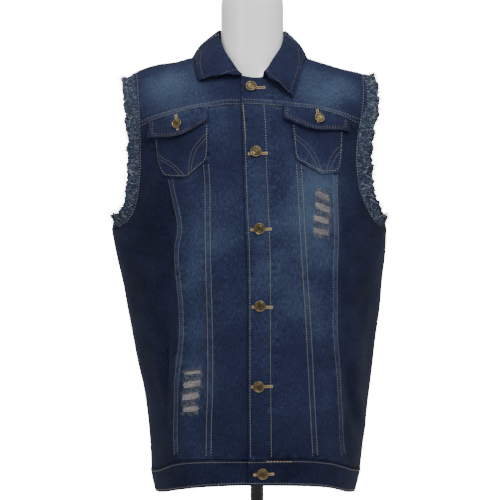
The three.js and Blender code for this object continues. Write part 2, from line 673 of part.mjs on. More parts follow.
const bandShift = (offset) => (i) => {
  const round = bandColumns[i] * (1 + BAND_LAP_SHARE);
  const over = PLACKET_RISE * clamp(1 - round * BAND_RISE_SHARE, 0, 1);
  return offset + over - BAND_TUCK.depth * clamp((round - BAND_TUCK.starts) / BAND_TUCK.width, 0, 1);
};
const waistband = wallSolid(bandGrid, bandShift(-CLOTH / 2), bandShift(BAND_CLOTH - CLOTH / 2));
addTo(vest, "waistband", waistband, DARK_DENIM);

// Patches that lie on a front: the fronts' own columns moved out, trimmed to an outline
const PATCH_ROWS = 8;
function frontSkin(side, inner, outer) {
  const columns = [];
  goresOf(side).forEach(({ map, columns: list }, order) =>
    list.slice(order ? 1 : 0).forEach((u) => columns.push([map, u])),
  );
  const rows = PANEL_STEPS.slice(-PATCH_ROWS);
  const spot = columns.map(([map, u]) => rows.map((v) => map(u, v)));
  const normal = columns.map(([map, u]) => rows.map((v) => outwardAt(map, u, v)));
  return wallSolid({ spot, normal }, inner, outer);
}
const POCKETS = {
  right: [
    { x: -68, z: 815 },
    { x: -68, z: 752 },
    { x: -81, z: 744 },
    { x: -96, z: 731 },
    { x: -101, z: 726.5 },
    { x: -112, z: 725.5 },
    { x: -140, z: 728.5 },
    { x: -147, z: 760 },
    { x: -152, z: 790 },
    { x: -152, z: 806 },
  ],
  left: [
    { x: 62, z: 822 },
    { x: 62, z: 800 },
    { x: 65, z: 770 },
    { x: 67, z: 754 },
    { x: 87, z: 742 },
    { x: 107, z: 731.5 },
    { x: 120, z: 732.5 },
    { x: 137, z: 734 },
    { x: 140, z: 760 },
    { x: 142, z: 792 },
    { x: 142, z: 808 },
  ],
};
const PATCH_BASE = CLOTH / 2 + SEAM_GAP;
for (const side of ["right", "left"]) {
  const skin = toSolid(frontSkin(side, PATCH_BASE, PATCH_BASE + PATCH_CLOTH));
  const pocket = skin.intersect(toSolid(prism(POCKETS[side], FRONT_CUT)));
  addTo(vest, `pocket_${side}`, fromSolid(pocket), FADED_DENIM);
}

// Pocket flaps hang from the yoke seam and stand off the pockets at their lower edge
const FLAPS = {
  right: [
    { x: -68, bottom: 814 },
    { x: -82, bottom: 804 },
    { x: -100, bottom: 794 },
    { x: -116, bottom: 787 },
    { x: -130, bottom: 786 },
    { x: -146, bottom: 787 },
    { x: -161, bottom: 788 },
  ],
  left: [
    { x: 48, bottom: 816 },
    { x: 60, bottom: 812 },
    { x: 76, bottom: 804 },
    { x: 90, bottom: 799.5 },
    { x: 103, bottom: 797.5 },
    { x: 120, bottom: 799 },
    { x: 136, bottom: 800 },
    { x: 150, bottom: 797 },
  ],
};
const FLAP_BASE = CLOTH + 0.75;
const FLAP_STAND_OFF = 0.17;
const flapStandOff = (x, z) => FLAP_STAND_OFF * Math.max(yokeSeam(x) - z, 0);
for (const side of ["right", "left"]) {
  const rows = FLAPS[side];
  const map = (u, v) => {
    const place = u * (rows.length - 1);
    const k = Math.min(Math.floor(place), rows.length - 2);
    const x = mix(rows[k].x, rows[k + 1].x, place - k);
    const z = mix(mix(rows[k].bottom, rows[k + 1].bottom, place - k), yokeSeam(x) - 0.6, v);
    return bodyPoint(turnAt(x, z), z, "front");
  };
  const columns = rows.map((_, k) => k / (rows.length - 1));
  const grid = sheetGrid(map, columns, [0, 0.3, 0.6, 0.85, 1]);
  const off = (face) => (i, j) => FLAP_BASE + face + flapStandOff(grid.spot[i][j].x, grid.spot[i][j].z);
  addTo(vest, `flap_${side}`, wallSolid(grid, off(-CLOTH / 2), off(CLOTH / 2)), FADED_DENIM);
}

// The collar: a strip that rises from the neckline, folds over and falls on the yokes.
// part runs from a front end, 0, to the middle of the back, 1.
const COLLAR = {
  right: [
    { part: 0, seamX: 15, foldX: 16.5, foldY: -73, foldZ: 892, edgeX: 82, edgeZ: 877 },
    { part: 0.12, seamX: 29, foldX: 28, foldY: -63, foldZ: 904, edgeX: 85, edgeZ: 887 },
    { part: 0.25, seamX: 43, foldX: 40, foldY: -47, foldZ: 921, edgeX: 88, edgeZ: 901 },
    { part: 0.38, seamX: 56, foldX: 50, foldY: -27, foldZ: 941, edgeX: 90, edgeZ: 914 },
    { part: 0.5, seamX: 62, foldX: 56, foldY: -5, foldZ: 957, edgeX: 92, edgeZ: 922 },
    { part: 0.65, seamX: 54, foldX: 54, foldY: 22, foldZ: 966, edgeX: 88, edgeZ: 911 },
    { part: 0.82, seamX: 34, foldX: 36, foldY: 48, foldZ: 966, edgeX: 56, edgeZ: 900 },
    { part: 1, seamX: 0, foldX: 0, foldY: 61, foldZ: 964, edgeX: 0, edgeZ: 895 },
  ],
  left: [
    { part: 0, seamX: 17, foldX: 19, foldY: -73, foldZ: 893, edgeX: 64, edgeZ: 849 },
    { part: 0.12, seamX: 30, foldX: 28.5, foldY: -62, foldZ: 906, edgeX: 69, edgeZ: 869 },
    { part: 0.25, seamX: 43, foldX: 39, foldY: -46, foldZ: 922, edgeX: 75, edgeZ: 890 },
    { part: 0.38, seamX: 56, foldX: 49.5, foldY: -27, foldZ: 940, edgeX: 80, edgeZ: 908 },
    { part: 0.5, seamX: 62, foldX: 55, foldY: -5, foldZ: 957, edgeX: 85, edgeZ: 919 },
    { part: 0.65, seamX: 54, foldX: 54, foldY: 22, foldZ: 965, edgeX: 84, edgeZ: 910 },
    { part: 0.82, seamX: 34, foldX: 34, foldY: 48, foldZ: 965, edgeX: 55, edgeZ: 900 },
    { part: 1, seamX: 0, foldX: 0, foldY: 61, foldZ: 964, edgeX: 0, edgeZ: 895 },
  ],
};
const COLLAR_STEPS = 13;
const COLLAR_CLEAR = 4.2;
const COLLAR_ROLL = { atEnds: 1.7, growth: 8, most: 2.4 };
const COLLAR_FOOT = { inward: 1.6, rise: 1.9 };

function collarSection(side, part) {
  const sign = side === "right" ? -1 : 1;
  const value = (name) => curveOf(COLLAR[side], "part", name)(part);
  const face = part > 0.5 ? "back" : "front";
  const seamX = sign * Math.min(value("seamX"), SHOULDER.neckX);
  const seamZ = topHeight(seamX, face);
  const seam = bodyPoint(turnAt(seamX, seamZ), Math.min(seamZ, ridge(seamX)), face);
  const fold = new THREE.Vector3(sign * value("foldX"), value("foldY"), value("foldZ"));
  const edgeX = sign * value("edgeX");
  const edgeZ = Math.min(value("edgeZ"), ridge(edgeX));
  const turn = turnAt(edgeX, edgeZ);
  const edge = bodyPoint(turn, edgeZ, face);
  const out = new THREE.Vector3(fold.x, fold.y - NECK_CENTRE_Y, 0).normalize();
  const below = bodyPoint(turn, edgeZ - 2, face);
  const beside = bodyPoint(turn + 0.02, Math.min(edgeZ, ridge(bodyPoint(turn + 0.02, edgeZ, face).x)), face);
  const clothOut = below.sub(edge).cross(beside.sub(edge)).normalize();
  if (clothOut.dot(new THREE.Vector3(edge.x * 0.2, edge.y, 60)) < 0) clothOut.negate();
  edge.addScaledVector(clothOut, COLLAR_CLEAR);
  const rise = fold.clone().sub(seam).normalize();
  const inward = new THREE.Vector3(-seam.x, -(seam.y - NECK_CENTRE_Y), 0).normalize();
  const foot = seam
    .clone()
    .addScaledVector(inward, COLLAR_FOOT.inward * Math.abs(inward.x))
    .addScaledVector(rise, COLLAR_FOOT.rise);
  const roll = Math.min(COLLAR_ROLL.most, COLLAR_ROLL.atEnds + COLLAR_ROLL.growth * part);
  const bulge = (t) => out.clone().lerp(clothOut, t).normalize();
  const outerFold = fold.clone().addScaledVector(out, roll);
  const along = (t, height) => outerFold.clone().lerp(edge, t).addScaledVector(bulge(t), height);
  return [
    foot,
    foot.clone().lerp(fold, 0.5).addScaledVector(out, -roll * 0.4),
    fold.clone().addScaledVector(out, -roll).add(new THREE.Vector3(0, 0, -1.5)),
    fold.clone().add(new THREE.Vector3(0, 0, roll - 1)),
    along(0.03, 0.4),
    along(0.3, 5),
    along(0.65, 5.5),
    along(1, 0),
  ];
}
const collarStations = [];
for (let k = 0; k <= COLLAR_STEPS; k += 1) collarStations.push(collarSection("right", k / COLLAR_STEPS));
for (let k = COLLAR_STEPS - 1; k >= 0; k -= 1) collarStations.push(collarSection("left", k / COLLAR_STEPS));
const collarNormals = collarStations.map((station, i) =>
  station.map((_, j) => {
    const before = collarStations[Math.max(i - 1, 0)][j];
    const after = collarStations[Math.min(i + 1, collarStations.length - 1)][j];
    const low = station[Math.max(j - 1, 0)];
    const high = station[Math.min(j + 1, station.length - 1)];
    return after.clone().sub(before).cross(high.clone().sub(low)).normalize();
  }),
);
const collarGrid = { spot: collarStations, normal: collarNormals };
addTo(vest, "collar", wallSolid(collarGrid, -COLLAR_CLOTH / 2, COLLAR_CLOTH / 2), FADED_DENIM);

// Frayed bands: a narrow strip round each armhole with locks of thread fused to its free edge
function armholeStations(side) {
  const stations = [];
  const turns = seamTurns[side];
  for (const face of ["front", "back"]) {
    const panel = face === "front" ? panelMap("front", turns.outer, turns.edge) : backSideMap[side];
    const yoke = yokeEdge(side, face);
    const list = YOKE_ROWS.map((v) => ({ map: yoke.map, u: yoke.u, v }));
    PANEL_STEPS.slice(ROWS_BELOW_ARM.length, -1).forEach((v) => list.push({ map: panel, u: 1, v }));
    list.sort((a, b) => b.map(b.u, b.v).z - a.map(a.u, a.v).z);
    const ordered = face === "front" ? list : list.reverse();
    for (const { map, u, v } of ordered) stations.push({ spot: map(u, v), normal: outwardAt(map, u, v) });
  }
  return stations.filter(({ spot }, k) => spot.distanceTo(stations[(k + 1) % stations.length].spot) > 0.05);
}
function yokeEdge(side, face) {
  if (face === "back") return { map: backYokeMap, u: side === "right" ? 0 : 1 };
  const tip = SHOULDER_TIP[side];
  const seamX = panelMap("front", seamTurns[side].outer, seamTurns[side].edge)(1, 1).x;
  const strip = 10 * Math.sign(tip);
  const map = (u, v) => {
    const z = mix(yokeSeam(seamX), ridge(tip), v);
    const x = armholeX("front", side, z) - (1 - u) * strip;
    return bodyPoint(turnAt(x, z), Math.min(z, ridge(x)), "front");
  };
  return { map, u: 1 };
}

const FRAY_FLARE = 14 * DEGREE;
const FRAY_CLOTH = 1.2;
const FRAY_EXTRA_GAP = 0.35;
const FRAY_FUSED = 1.6;
const LOCK_HALF_WIDTH = 3;
const LOCK_HALF_THICK = 0.4;
const LOCK_WIDER = 0.8;
const LOCK_LONGER = 0.25;
const LOCK_SPACED = 0.25;
const LOCK_LEAN = 3;
const LOCK_LIFT = 1;
const LOCK_CURL = 1.6;
const LOCK_MEAN = 0.85;
const ARMHOLE_ASIDE = 60;
const wobble = (k, seed) => (Math.sin(k * 12.9898 + seed * 78.233) + Math.sin(k * 4.137 + seed * 3.1)) / 2;
for (const side of ["right", "left"]) {
  const stations = armholeStations(side);
  const count = stations.length;
  for (let k = 0; k < count; k += 1) {
    const before = stations[(k + count - 1) % count].spot;
    const after = stations[(k + 1) % count].spot;
    const along = after.clone().sub(before).normalize();
    const away = along.clone().cross(stations[k].normal).normalize();
    stations[k].along = along;
    stations[k].away = away;
  }
  const centre = new THREE.Vector3();
  for (const { spot } of stations) centre.addScaledVector(spot, 1 / count);
  centre.x += Math.sign(centre.x) * ARMHOLE_ASIDE;
  for (const entry of stations) {
    if (entry.away.dot(centre.clone().sub(entry.spot)) < 0) entry.away.negate();
    entry.away.multiplyScalar(Math.cos(FRAY_FLARE)).addScaledVector(entry.normal, Math.sin(FRAY_FLARE));
  }
  const widths = [SEAM_GAP / 2 + FRAY_EXTRA_GAP, FRAY_BAND];
  const section = (entry) => widths.map((w) => entry.spot.clone().addScaledVector(entry.away, w));
  const band = { spot: stations.map(section), normal: stations.map((entry) => [entry.normal, entry.normal]) };
  let solid = toSolid(wallSolid(band, -FRAY_CLOTH / 2, FRAY_CLOTH / 2, true));
  const lengths = stations.map((entry, k) => entry.spot.distanceTo(stations[(k + 1) % count].spot));
  const total = lengths.reduce((a, b) => a + b, 0);
  for (let lock = 0; lock < FRAY_LOCKS; lock += 1) {
    let place = ((lock + LOCK_SPACED * wobble(lock, 1)) / FRAY_LOCKS) * total;
    place = (place + total) % total;
    let k = 0;
    while (place > lengths[k]) {
      place -= lengths[k];
      k = (k + 1) % count;
    }
    const [a, b] = [stations[k], stations[(k + 1) % count]];
    const t = place / lengths[k];
    const blend = (name) => a[name].clone().lerp(b[name], t);
    const [spot, away, normal, along] = ["spot", "away", "normal", "along"].map(blend);
    const root = spot.clone().addScaledVector(away, FRAY_BAND - FRAY_FUSED);
    const half = LOCK_HALF_WIDTH + LOCK_WIDER * wobble(lock, 2);
    const reach = FRAY_LOCK * (LOCK_MEAN + LOCK_LONGER * wobble(lock, 3));
    const tip = root
      .clone()
      .addScaledVector(away, reach)
      .addScaledVector(along, LOCK_LEAN * wobble(lock, 4))
      .addScaledVector(normal, LOCK_LIFT + LOCK_CURL * wobble(lock, 5));
    const corners = [];
    for (const [sideways, upward] of [[-1, -1], [1, -1], [1, 1], [-1, 1]])
      corners.push(
        root
          .clone()
          .addScaledVector(along, sideways * half)
          .addScaledVector(normal, upward * LOCK_HALF_THICK),
      );
    const positions = [...corners, tip].flatMap((p) => p.toArray());
    const faces = [0, 2, 1, 0, 3, 2, 0, 1, 4, 1, 2, 4, 2, 3, 4, 3, 0, 4];
    solid = solid.add(toSolid(outwardGeometry(positions, faces)));
  }
  addTo(vest, `armhole_fray_${side}`, fromSolid(solid), FRAYED_DENIM);
}

// Tack buttons: a domed cap with a raised rim, turned to face out of the cloth
function buttonGeometry(radius) {
  const profile = [
    [0, 0],
    [radius * 0.9, 0],
    [radius, 0.9],
    [radius, 1.8],
    [radius * 0.93, 2.5],
    [radius * 0.74, 2.2],
    [radius * 0.4, 2.9],
    [0, 3.2],
  ].map(([r, h]) => new THREE.Vector2(r, h));
  return new THREE.LatheGeometry(profile, 16);
}

// A button sits on a face, given as a point for each x and z, and looks along the face's outward direction.
const BUTTON_GAP = 0.42;
function placeButton(name, radius, faceAt, x, z) {
  const step = radius / 2;
  const acrossX = faceAt(x + step, z).sub(faceAt(x - step, z));
  const acrossZ = faceAt(x, z + step).sub(faceAt(x, z - step));
  const normal = acrossX.cross(acrossZ).normalize();
  const mesh = addTo(vest, name, buttonGeometry(radius), BRASS);
  mesh.quaternion.setFromUnitVectors(new THREE.Vector3(0, 1, 0), normal);
  mesh.position.copy(faceAt(x, z)).addScaledVector(normal, BUTTON_GAP);
}

function frontFace(x, z, offset) {
  const map = (u, v) => bodyPoint(turnAt(x + (u - 0.5) * 8, z), z + (v - 0.5) * 8, "front");
  return bodyPoint(turnAt(x, z), z, "front").addScaledVector(outwardAt(map, 0.5, 0.5), offset);
}
const placketTop = (x) => BAND_CLOTH - CLOTH / 2 + PLACKET_RISE * (1 - (x - OVERLAP_X) / PLACKET_WIDTH);
const BUTTONS = [
  { name: "button_neck", x: -1.5, z: 868 },
  { name: "button_chest", x: 5.8, z: 765 },
  { name: "button_upper", x: 10.8, z: 646 },
  { name: "button_middle", x: 12, z: 528 },
  { name: "button_lower", x: 10, z: 405 },
  { name: "button_waist", x: 16, z: 272 },
];
for (const { name, x, z } of BUTTONS)
  placeButton(name, BUTTON_RADIUS, (a, b) => frontFace(a, b, placketTop(a)), x, z);
const flapFace = (x, z) => frontFace(x, z, FLAP_BASE + CLOTH / 2 + flapStandOff(x, z));
placeButton("flap_button_right", FLAP_BUTTON_RADIUS, flapFace, -115, 808);
placeButton("flap_button_left", FLAP_BUTTON_RADIUS, flapFace, 103, 817);

// The dress form: a limbless torso whose shoulders carry the yokes, joined to a plain neck
const FORM = [
  { z: 312, right: 118, left: 126, front: 96, back: 92 },
  { z: 330, right: 126, left: 134, front: 104, back: 98 },
  { z: 380, right: 134, left: 141, front: 110, back: 104 },
  { z: 460, right: 140, left: 146, front: 112, back: 100 },
  { z: 540, right: 152, left: 154, front: 116, back: 106 },
  { z: 620, right: 166, left: 162, front: 120, back: 116 },
  { z: 690, right: 173, left: 164, front: 118, back: 120 },
  { z: 760, right: 168, left: 158, front: 108, back: 119 },
  { z: 820, right: 168, left: 160, front: 92, back: 110 },
  { z: 876, right: 174, left: 168, front: 72, back: 94 },
  { z: 905, right: 178, left: 172, front: 60, back: 82 },
  { z: 960, right: 180, left: 174, front: 43, back: 62 },
];
const FORM_ROWS = [0, 0.05, 0.14, 0.26, 0.38, 0.5, 0.6, 0.7, 0.78, 0.85, 0.9, 0.94, 0.968, 0.985, 0.996, 1];
const FORM_COLUMNS = 16;
const FORM_SQUARE = 2.15;
const formCurve = {};
for (const name of ["right", "left", "front", "back"]) formCurve[name] = curveOf(FORM, "z", name);
const FORM_DROP = CLOTH / 2 + FORM_GAP;
const FORM_NECK_BASE_Z = 925;
const formShoulder = (x) => Math.min(shoulderLine(x), FORM_NECK_BASE_Z) - FORM_DROP;
function formGeometry() {
  const positions = [];
  const faces = [];
  const rowCount = FORM_ROWS.length;
  const ringCount = FORM_COLUMNS * 2;
  const power = 2 / FORM_SQUARE;
  for (let i = 0; i < ringCount; i += 1) {
    const face = i <= FORM_COLUMNS ? "front" : "back";
    const share = (i % FORM_COLUMNS) / FORM_COLUMNS + (i === FORM_COLUMNS ? 1 : 0);
    const turn = face === "front" ? mix(-90, 90, share) : mix(90, -90, share);
    const side = turn < 0 ? "right" : "left";
    const reach = Math.abs(Math.sin(turn * DEGREE)) ** power;
    const sign = Math.sign(turn);
    let topZ = 900;
    for (let pass = 0; pass < 12; pass += 1) topZ = formShoulder(sign * formCurve[side](topZ) * reach);
    for (const row of FORM_ROWS) {
      const z = mix(FORM_BOTTOM_Z, topZ, row);
      const x = sign * formCurve[side](z) * reach;
      const roll = rollOver(formShoulder(x) - z);
      const reachY = row === 1 ? 0 : Math.max(Math.cos(turn * DEGREE), 0) ** power * roll;
      const depth = formCurve[face](z) * reachY;
      positions.push(x, face === "front" ? -depth : depth, z);
    }
  }
  const index = (i, j) => (i % ringCount) * rowCount + j;
  for (let i = 0; i < ringCount; i += 1)
    for (let j = 0; j < rowCount - 1; j += 1) {
      faces.push(index(i, j), index(i + 1, j), index(i + 1, j + 1));
      faces.push(index(i, j), index(i + 1, j + 1), index(i, j + 1));
    }
  const bottom = positions.length / 3;
  positions.push(0, 0, FORM_BOTTOM_Z);
  for (let i = 0; i < ringCount; i += 1) faces.push(index(i, 0), bottom, index(i + 1, 0));
  return outwardGeometry(positions, faces);
}
const neckProfile = [
  [0, 800],
  [50, 800],
  [60, 884],
  [57, 905],
  [54, 925],
  [NECK_RADIUS, 945],
  [NECK_RADIUS, NECK_TOP_Z - 8],
  [NECK_RADIUS - 3, NECK_TOP_Z - 2],
  [NECK_RADIUS - 9, NECK_TOP_Z],
  [0, NECK_TOP_Z],
].map(([r, z]) => new THREE.Vector2(r, z));
const neck = new THREE.LatheGeometry(neckProfile, 32).rotateX(Math.PI / 2).translate(0, NECK_CENTRE_Y, 0);
addTo(vest, "dress_form", fromSolid(toSolid(formGeometry()).add(toSolid(neck))), WHITE_GLOSS);

// The stand: a pole with a round mounting plate under the form, on a flat round base
const stand = new THREE.Group();
const lathe = (points, sides) =>
  new THREE.LatheGeometry(points.map(([r, z]) => new THREE.Vector2(r, z)), sides).rotateX(Math.PI / 2);
const plateTop = FORM_BOTTOM_Z - SEAM_GAP;
addTo(
  stand,
  "stand_pole",
  lathe(
    [
      [0, BASE_THICK + SEAM_GAP],
      [POLE_RADIUS + 8, BASE_THICK + SEAM_GAP],
      [POLE_RADIUS + 8, BASE_THICK + 12],
      [POLE_RADIUS, BASE_THICK + 14],
      [POLE_RADIUS, plateTop - 5],
      [42, plateTop - 4],
      [42, plateTop],
      [0, plateTop],
    ],
    24,
  ),
  BLACK_STEEL,
);
addTo(
  stand,
  "stand_base",
  lathe(
    [
      [0, 0],
      [BASE_RADIUS, 0],
      [BASE_RADIUS, BASE_THICK - 3],
      [BASE_RADIUS - 3, BASE_THICK],
      [0, BASE_THICK],
    ],
    48,
  ),
  BLACK_STEEL,
);

const part = new THREE.Group();
part.add(vest, stand);
export default part;
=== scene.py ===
# A sleeveless denim vest with frayed armholes, worn by a limbless dress form on a round stand.
# Metres, +Z up. The wearer faces -Y, and the wearer's right is -X.
import math

import bmesh
import bpy
import numpy as np
from mathutils import Matrix, Vector, noise
from mathutils.bvhtree import BVHTree


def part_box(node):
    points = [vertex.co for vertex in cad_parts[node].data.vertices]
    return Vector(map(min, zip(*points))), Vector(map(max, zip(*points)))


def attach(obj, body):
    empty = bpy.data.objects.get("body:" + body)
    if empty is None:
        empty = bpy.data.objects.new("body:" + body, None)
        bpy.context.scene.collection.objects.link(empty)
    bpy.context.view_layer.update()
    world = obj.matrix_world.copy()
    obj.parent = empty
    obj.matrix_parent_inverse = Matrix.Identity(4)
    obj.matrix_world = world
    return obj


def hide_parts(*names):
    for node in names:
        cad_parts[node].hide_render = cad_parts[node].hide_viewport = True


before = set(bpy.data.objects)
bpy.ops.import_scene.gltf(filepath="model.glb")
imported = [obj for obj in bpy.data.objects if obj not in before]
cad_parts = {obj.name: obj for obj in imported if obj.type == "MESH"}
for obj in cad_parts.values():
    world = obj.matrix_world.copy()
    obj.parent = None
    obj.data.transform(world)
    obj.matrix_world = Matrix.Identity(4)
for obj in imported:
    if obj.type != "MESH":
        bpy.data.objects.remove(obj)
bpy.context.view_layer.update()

# The stand: a steel pole and a flat round base, turned and painted satin black. The pole's foot
# sits on the base, and its plate carries the form.
STAND_COLOR = (0.003, 0.003, 0.0035, 1.0)
SPIN_STEPS = 72
TOUCHING = 1e-6
POLE_RADIUS = 0.0105
FOOT_RADIUS = 0.0185
PLATE_RADIUS = 0.042


def new_material(name):
    material = bpy.data.materials.new(name)
    material.use_nodes = True
    return material, material.node_tree


def set_inputs(tree, node, inputs):
    """Sets a node's inputs to values, or links them to other nodes' outputs."""
    for key, value in inputs.items():
        if isinstance(value, bpy.types.NodeSocket):
            tree.links.new(value, node.inputs[key])
        else:
            node.inputs[key].default_value = value


def add_node(tree, kind, inputs, **settings):
    node = tree.nodes.new(kind)
    for key, value in settings.items():
        setattr(node, key, value)
    set_inputs(tree, node, inputs)
    return node


def finish_material(material, look):
    """The material with its look set by the names of the shader's inputs."""
    tree = material.node_tree
    set_inputs(tree, tree.nodes["Principled BSDF"], look)
    return material


def object_place(tree):
    return add_node(tree, "ShaderNodeTexCoord", {}).outputs["Object"]


def grain(tree, scale, detail, rough=0.5):
    """An uneven pattern through the whole piece, from 0 to 1."""
    inputs = {"Vector": object_place(tree), "Scale": scale, "Detail": detail, "Roughness": rough}
    return add_node(tree, "ShaderNodeTexNoise", inputs).outputs["Fac"]


def spread(tree, value, low, high, start=0.0, stop=1.0, **settings):
    """A value between start and stop, spread from low to high."""
    ends = {"Value": value, "From Min": start, "From Max": stop, "To Min": low, "To Max": high}
    return add_node(tree, "ShaderNodeMapRange", ends, **settings).outputs["Result"]


def relief(tree, height, strength, depth):
    inputs = {"Height": height, "Strength": strength, "Distance": depth}
    return add_node(tree, "ShaderNodeBump", inputs).outputs["Normal"]


def painted_steel():
    material, tree = new_material("stand_black")
    speck = grain(tree, 900.0, 3.0)
    look = {
        "Base Color": STAND_COLOR,
        "Specular IOR Level": 0.3,
        "Roughness": spread(tree, speck, 0.3, 0.46),
        "Normal": relief(tree, speck, 0.12, 0.0004),
    }
    return finish_material(material, look)


def place_mesh(name, mesh, material, smooth=True):
    mesh.polygons.foreach_set("use_smooth", [smooth] * len(mesh.polygons))
    mesh.materials.append(material)
    piece = bpy.data.objects.new(name, mesh)
    bpy.context.scene.collection.objects.link(piece)
    return piece


def finish_piece(name, bm, material, smooth=True):
    mesh = bpy.data.meshes.new(name)
    bm.to_mesh(mesh)
    bm.free()
    return place_mesh(name, mesh, material, smooth)


def belong(piece, node=None):
    """Puts a piece in the one body, and hides the CAD node that it stands for."""
    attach(piece, "root")
    if node:
        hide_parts(node)
    return piece


def spun(profile, steps):
    """A closed shape of revolution about the upright, from (radius, height) pairs."""
    bm = bmesh.new()
    verts = [bm.verts.new((radius, 0.0, height)) for radius, height in profile]
    edges = [bm.edges.new(pair) for pair in zip(verts, verts[1:])]
    around = {"axis": (0, 0, 1), "cent": (0, 0, 0), "angle": 2 * math.pi}
    bmesh.ops.spin(bm, geom=verts + edges, steps=steps, use_merge=True, **around)
    bmesh.ops.remove_doubles(bm, verts=bm.verts, dist=TOUCHING)
    bmesh.ops.recalc_face_normals(bm, faces=bm.faces)
    return bm


def turned(node, profile, material):
    """A part of the stand, turned on a lathe."""
    piece = finish_piece(node + "_turned", spun(profile, SPIN_STEPS), material)
    return belong(piece, node)


black = painted_steel()
low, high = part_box("stand_base")
rim = (high.x - low.x) / 2
base_profile = [
    (0.0, 0.0), (rim - 0.0015, 0.0), (rim, 0.0015), (rim, high.z - 0.0035),
    (rim - 0.001, high.z - 0.0015), (rim - 0.0032, high.z - 0.0004), (rim - 0.006, high.z),
    (0.0, high.z),
]
turned("stand_base", base_profile, black)
low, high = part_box("stand_pole")
pole_profile = [
    (0.0, low.z), (FOOT_RADIUS - 0.001, low.z), (FOOT_RADIUS, low.z + 0.001),
    (FOOT_RADIUS, low.z + 0.0105), (FOOT_RADIUS - 0.0015, low.z + 0.0118),
    (POLE_RADIUS, low.z + 0.0125), (POLE_RADIUS, high.z - 0.006),
    (POLE_RADIUS + 0.002, high.z - 0.0045), (PLATE_RADIUS - 0.001, high.z - 0.004),
    (PLATE_RADIUS, high.z - 0.003), (PLATE_RADIUS, high.z - 0.0005),
    (PLATE_RADIUS - 0.0006, high.z), (0.0, high.z),
]
turned("stand_pole", pole_profile, black)

# The dress form: a blow-moulded white plastic torso with no arms or legs. Its skin is remade from
# the solid in small even faces and smoothed, so that neck and shoulders flow into each other.
FORM_FACE = 0.006
FORM_SMOOTHINGS = 12
FORM_SHADED = (0.92, 0.905, 0.91, 1)
FORM_WHITE = (0.96, 0.945, 0.95, 1)
CAD_TOUCHING = 1e-5


def blend(tree, share, first, second):
    """One colour going over into another."""
    inputs = {"Factor": share, "A": first, "B": second}
    return add_node(tree, "ShaderNodeMix", inputs, data_type="RGBA").outputs["Result"]


def glossy_white():
    material, tree = new_material("form_white")
    ripple = grain(tree, 26.0, 2.0)
    look = {
        "Base Color": blend(tree, ripple, FORM_SHADED, FORM_WHITE),
        "Roughness": spread(tree, grain(tree, 700.0, 2.0), 0.2, 0.3),
        "Normal": relief(tree, ripple, 0.1, 0.002),
        "Coat Weight": 0.3,
        "Coat Roughness": 0.12,
    }
    return finish_material(material, look)


def node_mesh(node):
    """A merged copy of a CAD node's loose triangles."""
    bm = bmesh.new()
    bm.from_mesh(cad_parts[node].data)
    bmesh.ops.remove_doubles(bm, verts=bm.verts, dist=CAD_TOUCHING)
    return bm


def with_modifier(piece, kind, **settings):
    """Applies one modifier to the piece's mesh."""
    modifier = piece.modifiers.new(kind.lower(), kind)
    for key, value in settings.items():
        setattr(modifier, key, value)
    bpy.context.view_layer.update()
    shaped = piece.evaluated_get(bpy.context.evaluated_depsgraph_get())
    old = piece.data
    new = bpy.data.meshes.new_from_object(shaped)
    piece.modifiers.clear()
    piece.data = new
    bpy.data.meshes.remove(old)


form = finish_piece("dress_form_skin", node_mesh("dress_form"), glossy_white())
with_modifier(form, "REMESH", mode="VOXEL", voxel_size=FORM_FACE, use_smooth_shade=True)
bm = bmesh.new()
bm.from_mesh(form.data)
EVERY_WAY = {"use_axis_x": True, "use_axis_y": True, "use_axis_z": True}
for _ in range(FORM_SMOOTHINGS):
    bmesh.ops.smooth_vert(bm, verts=bm.verts, factor=0.5, **EVERY_WAY)
bm.to_mesh(form.data)
bm.free()
form.data.polygons.foreach_set("use_smooth", [True] * len(form.data.polygons))
belong(form, "dress_form")

# Body panels: stonewashed indigo twill, cut in gores and joined with felled seams. Each panel is a
# shell on its solid's form, rounded, with the small creases that the solids leave out.
SMOOTH_LEVELS = 3
RIM_ANGLE = math.radians(50)
RIM_REACH = 0.03
JOIN_BEND = math.radians(40)
JOIN_SKEW = math.radians(70)
SIDE_SOFTNESS = 0.03
CREASE_TAPER = 0.7
FADE_SOFTNESS = 1.4
RIPPLE_SIZE = 0.055
RIPPLE_DEPTH = 0.0011
HALF_WIDTH = 0.2
HALF_DEPTH = 0.14
GIRTH_STEPS = 721
WARP_OVER_TOP = 0.5


def table(columns, *rows):
    """Rows with named columns."""
    return [dict(zip(columns.split(), row)) for row in rows]


# Where the cloth is worn pale: centre and half widths in mm on the front or back, amount
FADES = table(
    "face x z wide high fade",
    ("front", -128, 864, 56, 38, 0.86),
    ("front", 104, 864, 56, 36, 0.84),
    ("front", -97, 620, 26, 110, 0.5),
    ("front", -94, 420, 26, 90, 0.3),
    ("front", -101, 398, 15, 34, 0.3),
    ("front", 96, 702, 34, 56, 0.86),
    ("front", 98, 610, 28, 80, 0.45),
    ("front", 100, 440, 26, 110, 0.3),
    ("front", 46, 600, 36, 170, 0.46),
    ("front", -44, 620, 32, 190, 0.4),
    ("front", 4, 660, 18, 210, 0.27),
    ("back", -90, 850, 60, 40, 0.8),
    ("back", 80, 850, 60, 40, 0.8),
    ("back", -8, 560, 60, 190, 0.55),
    ("back", -120, 520, 30, 130, 0.25),
    ("back", 104, 520, 30, 130, 0.25),
)
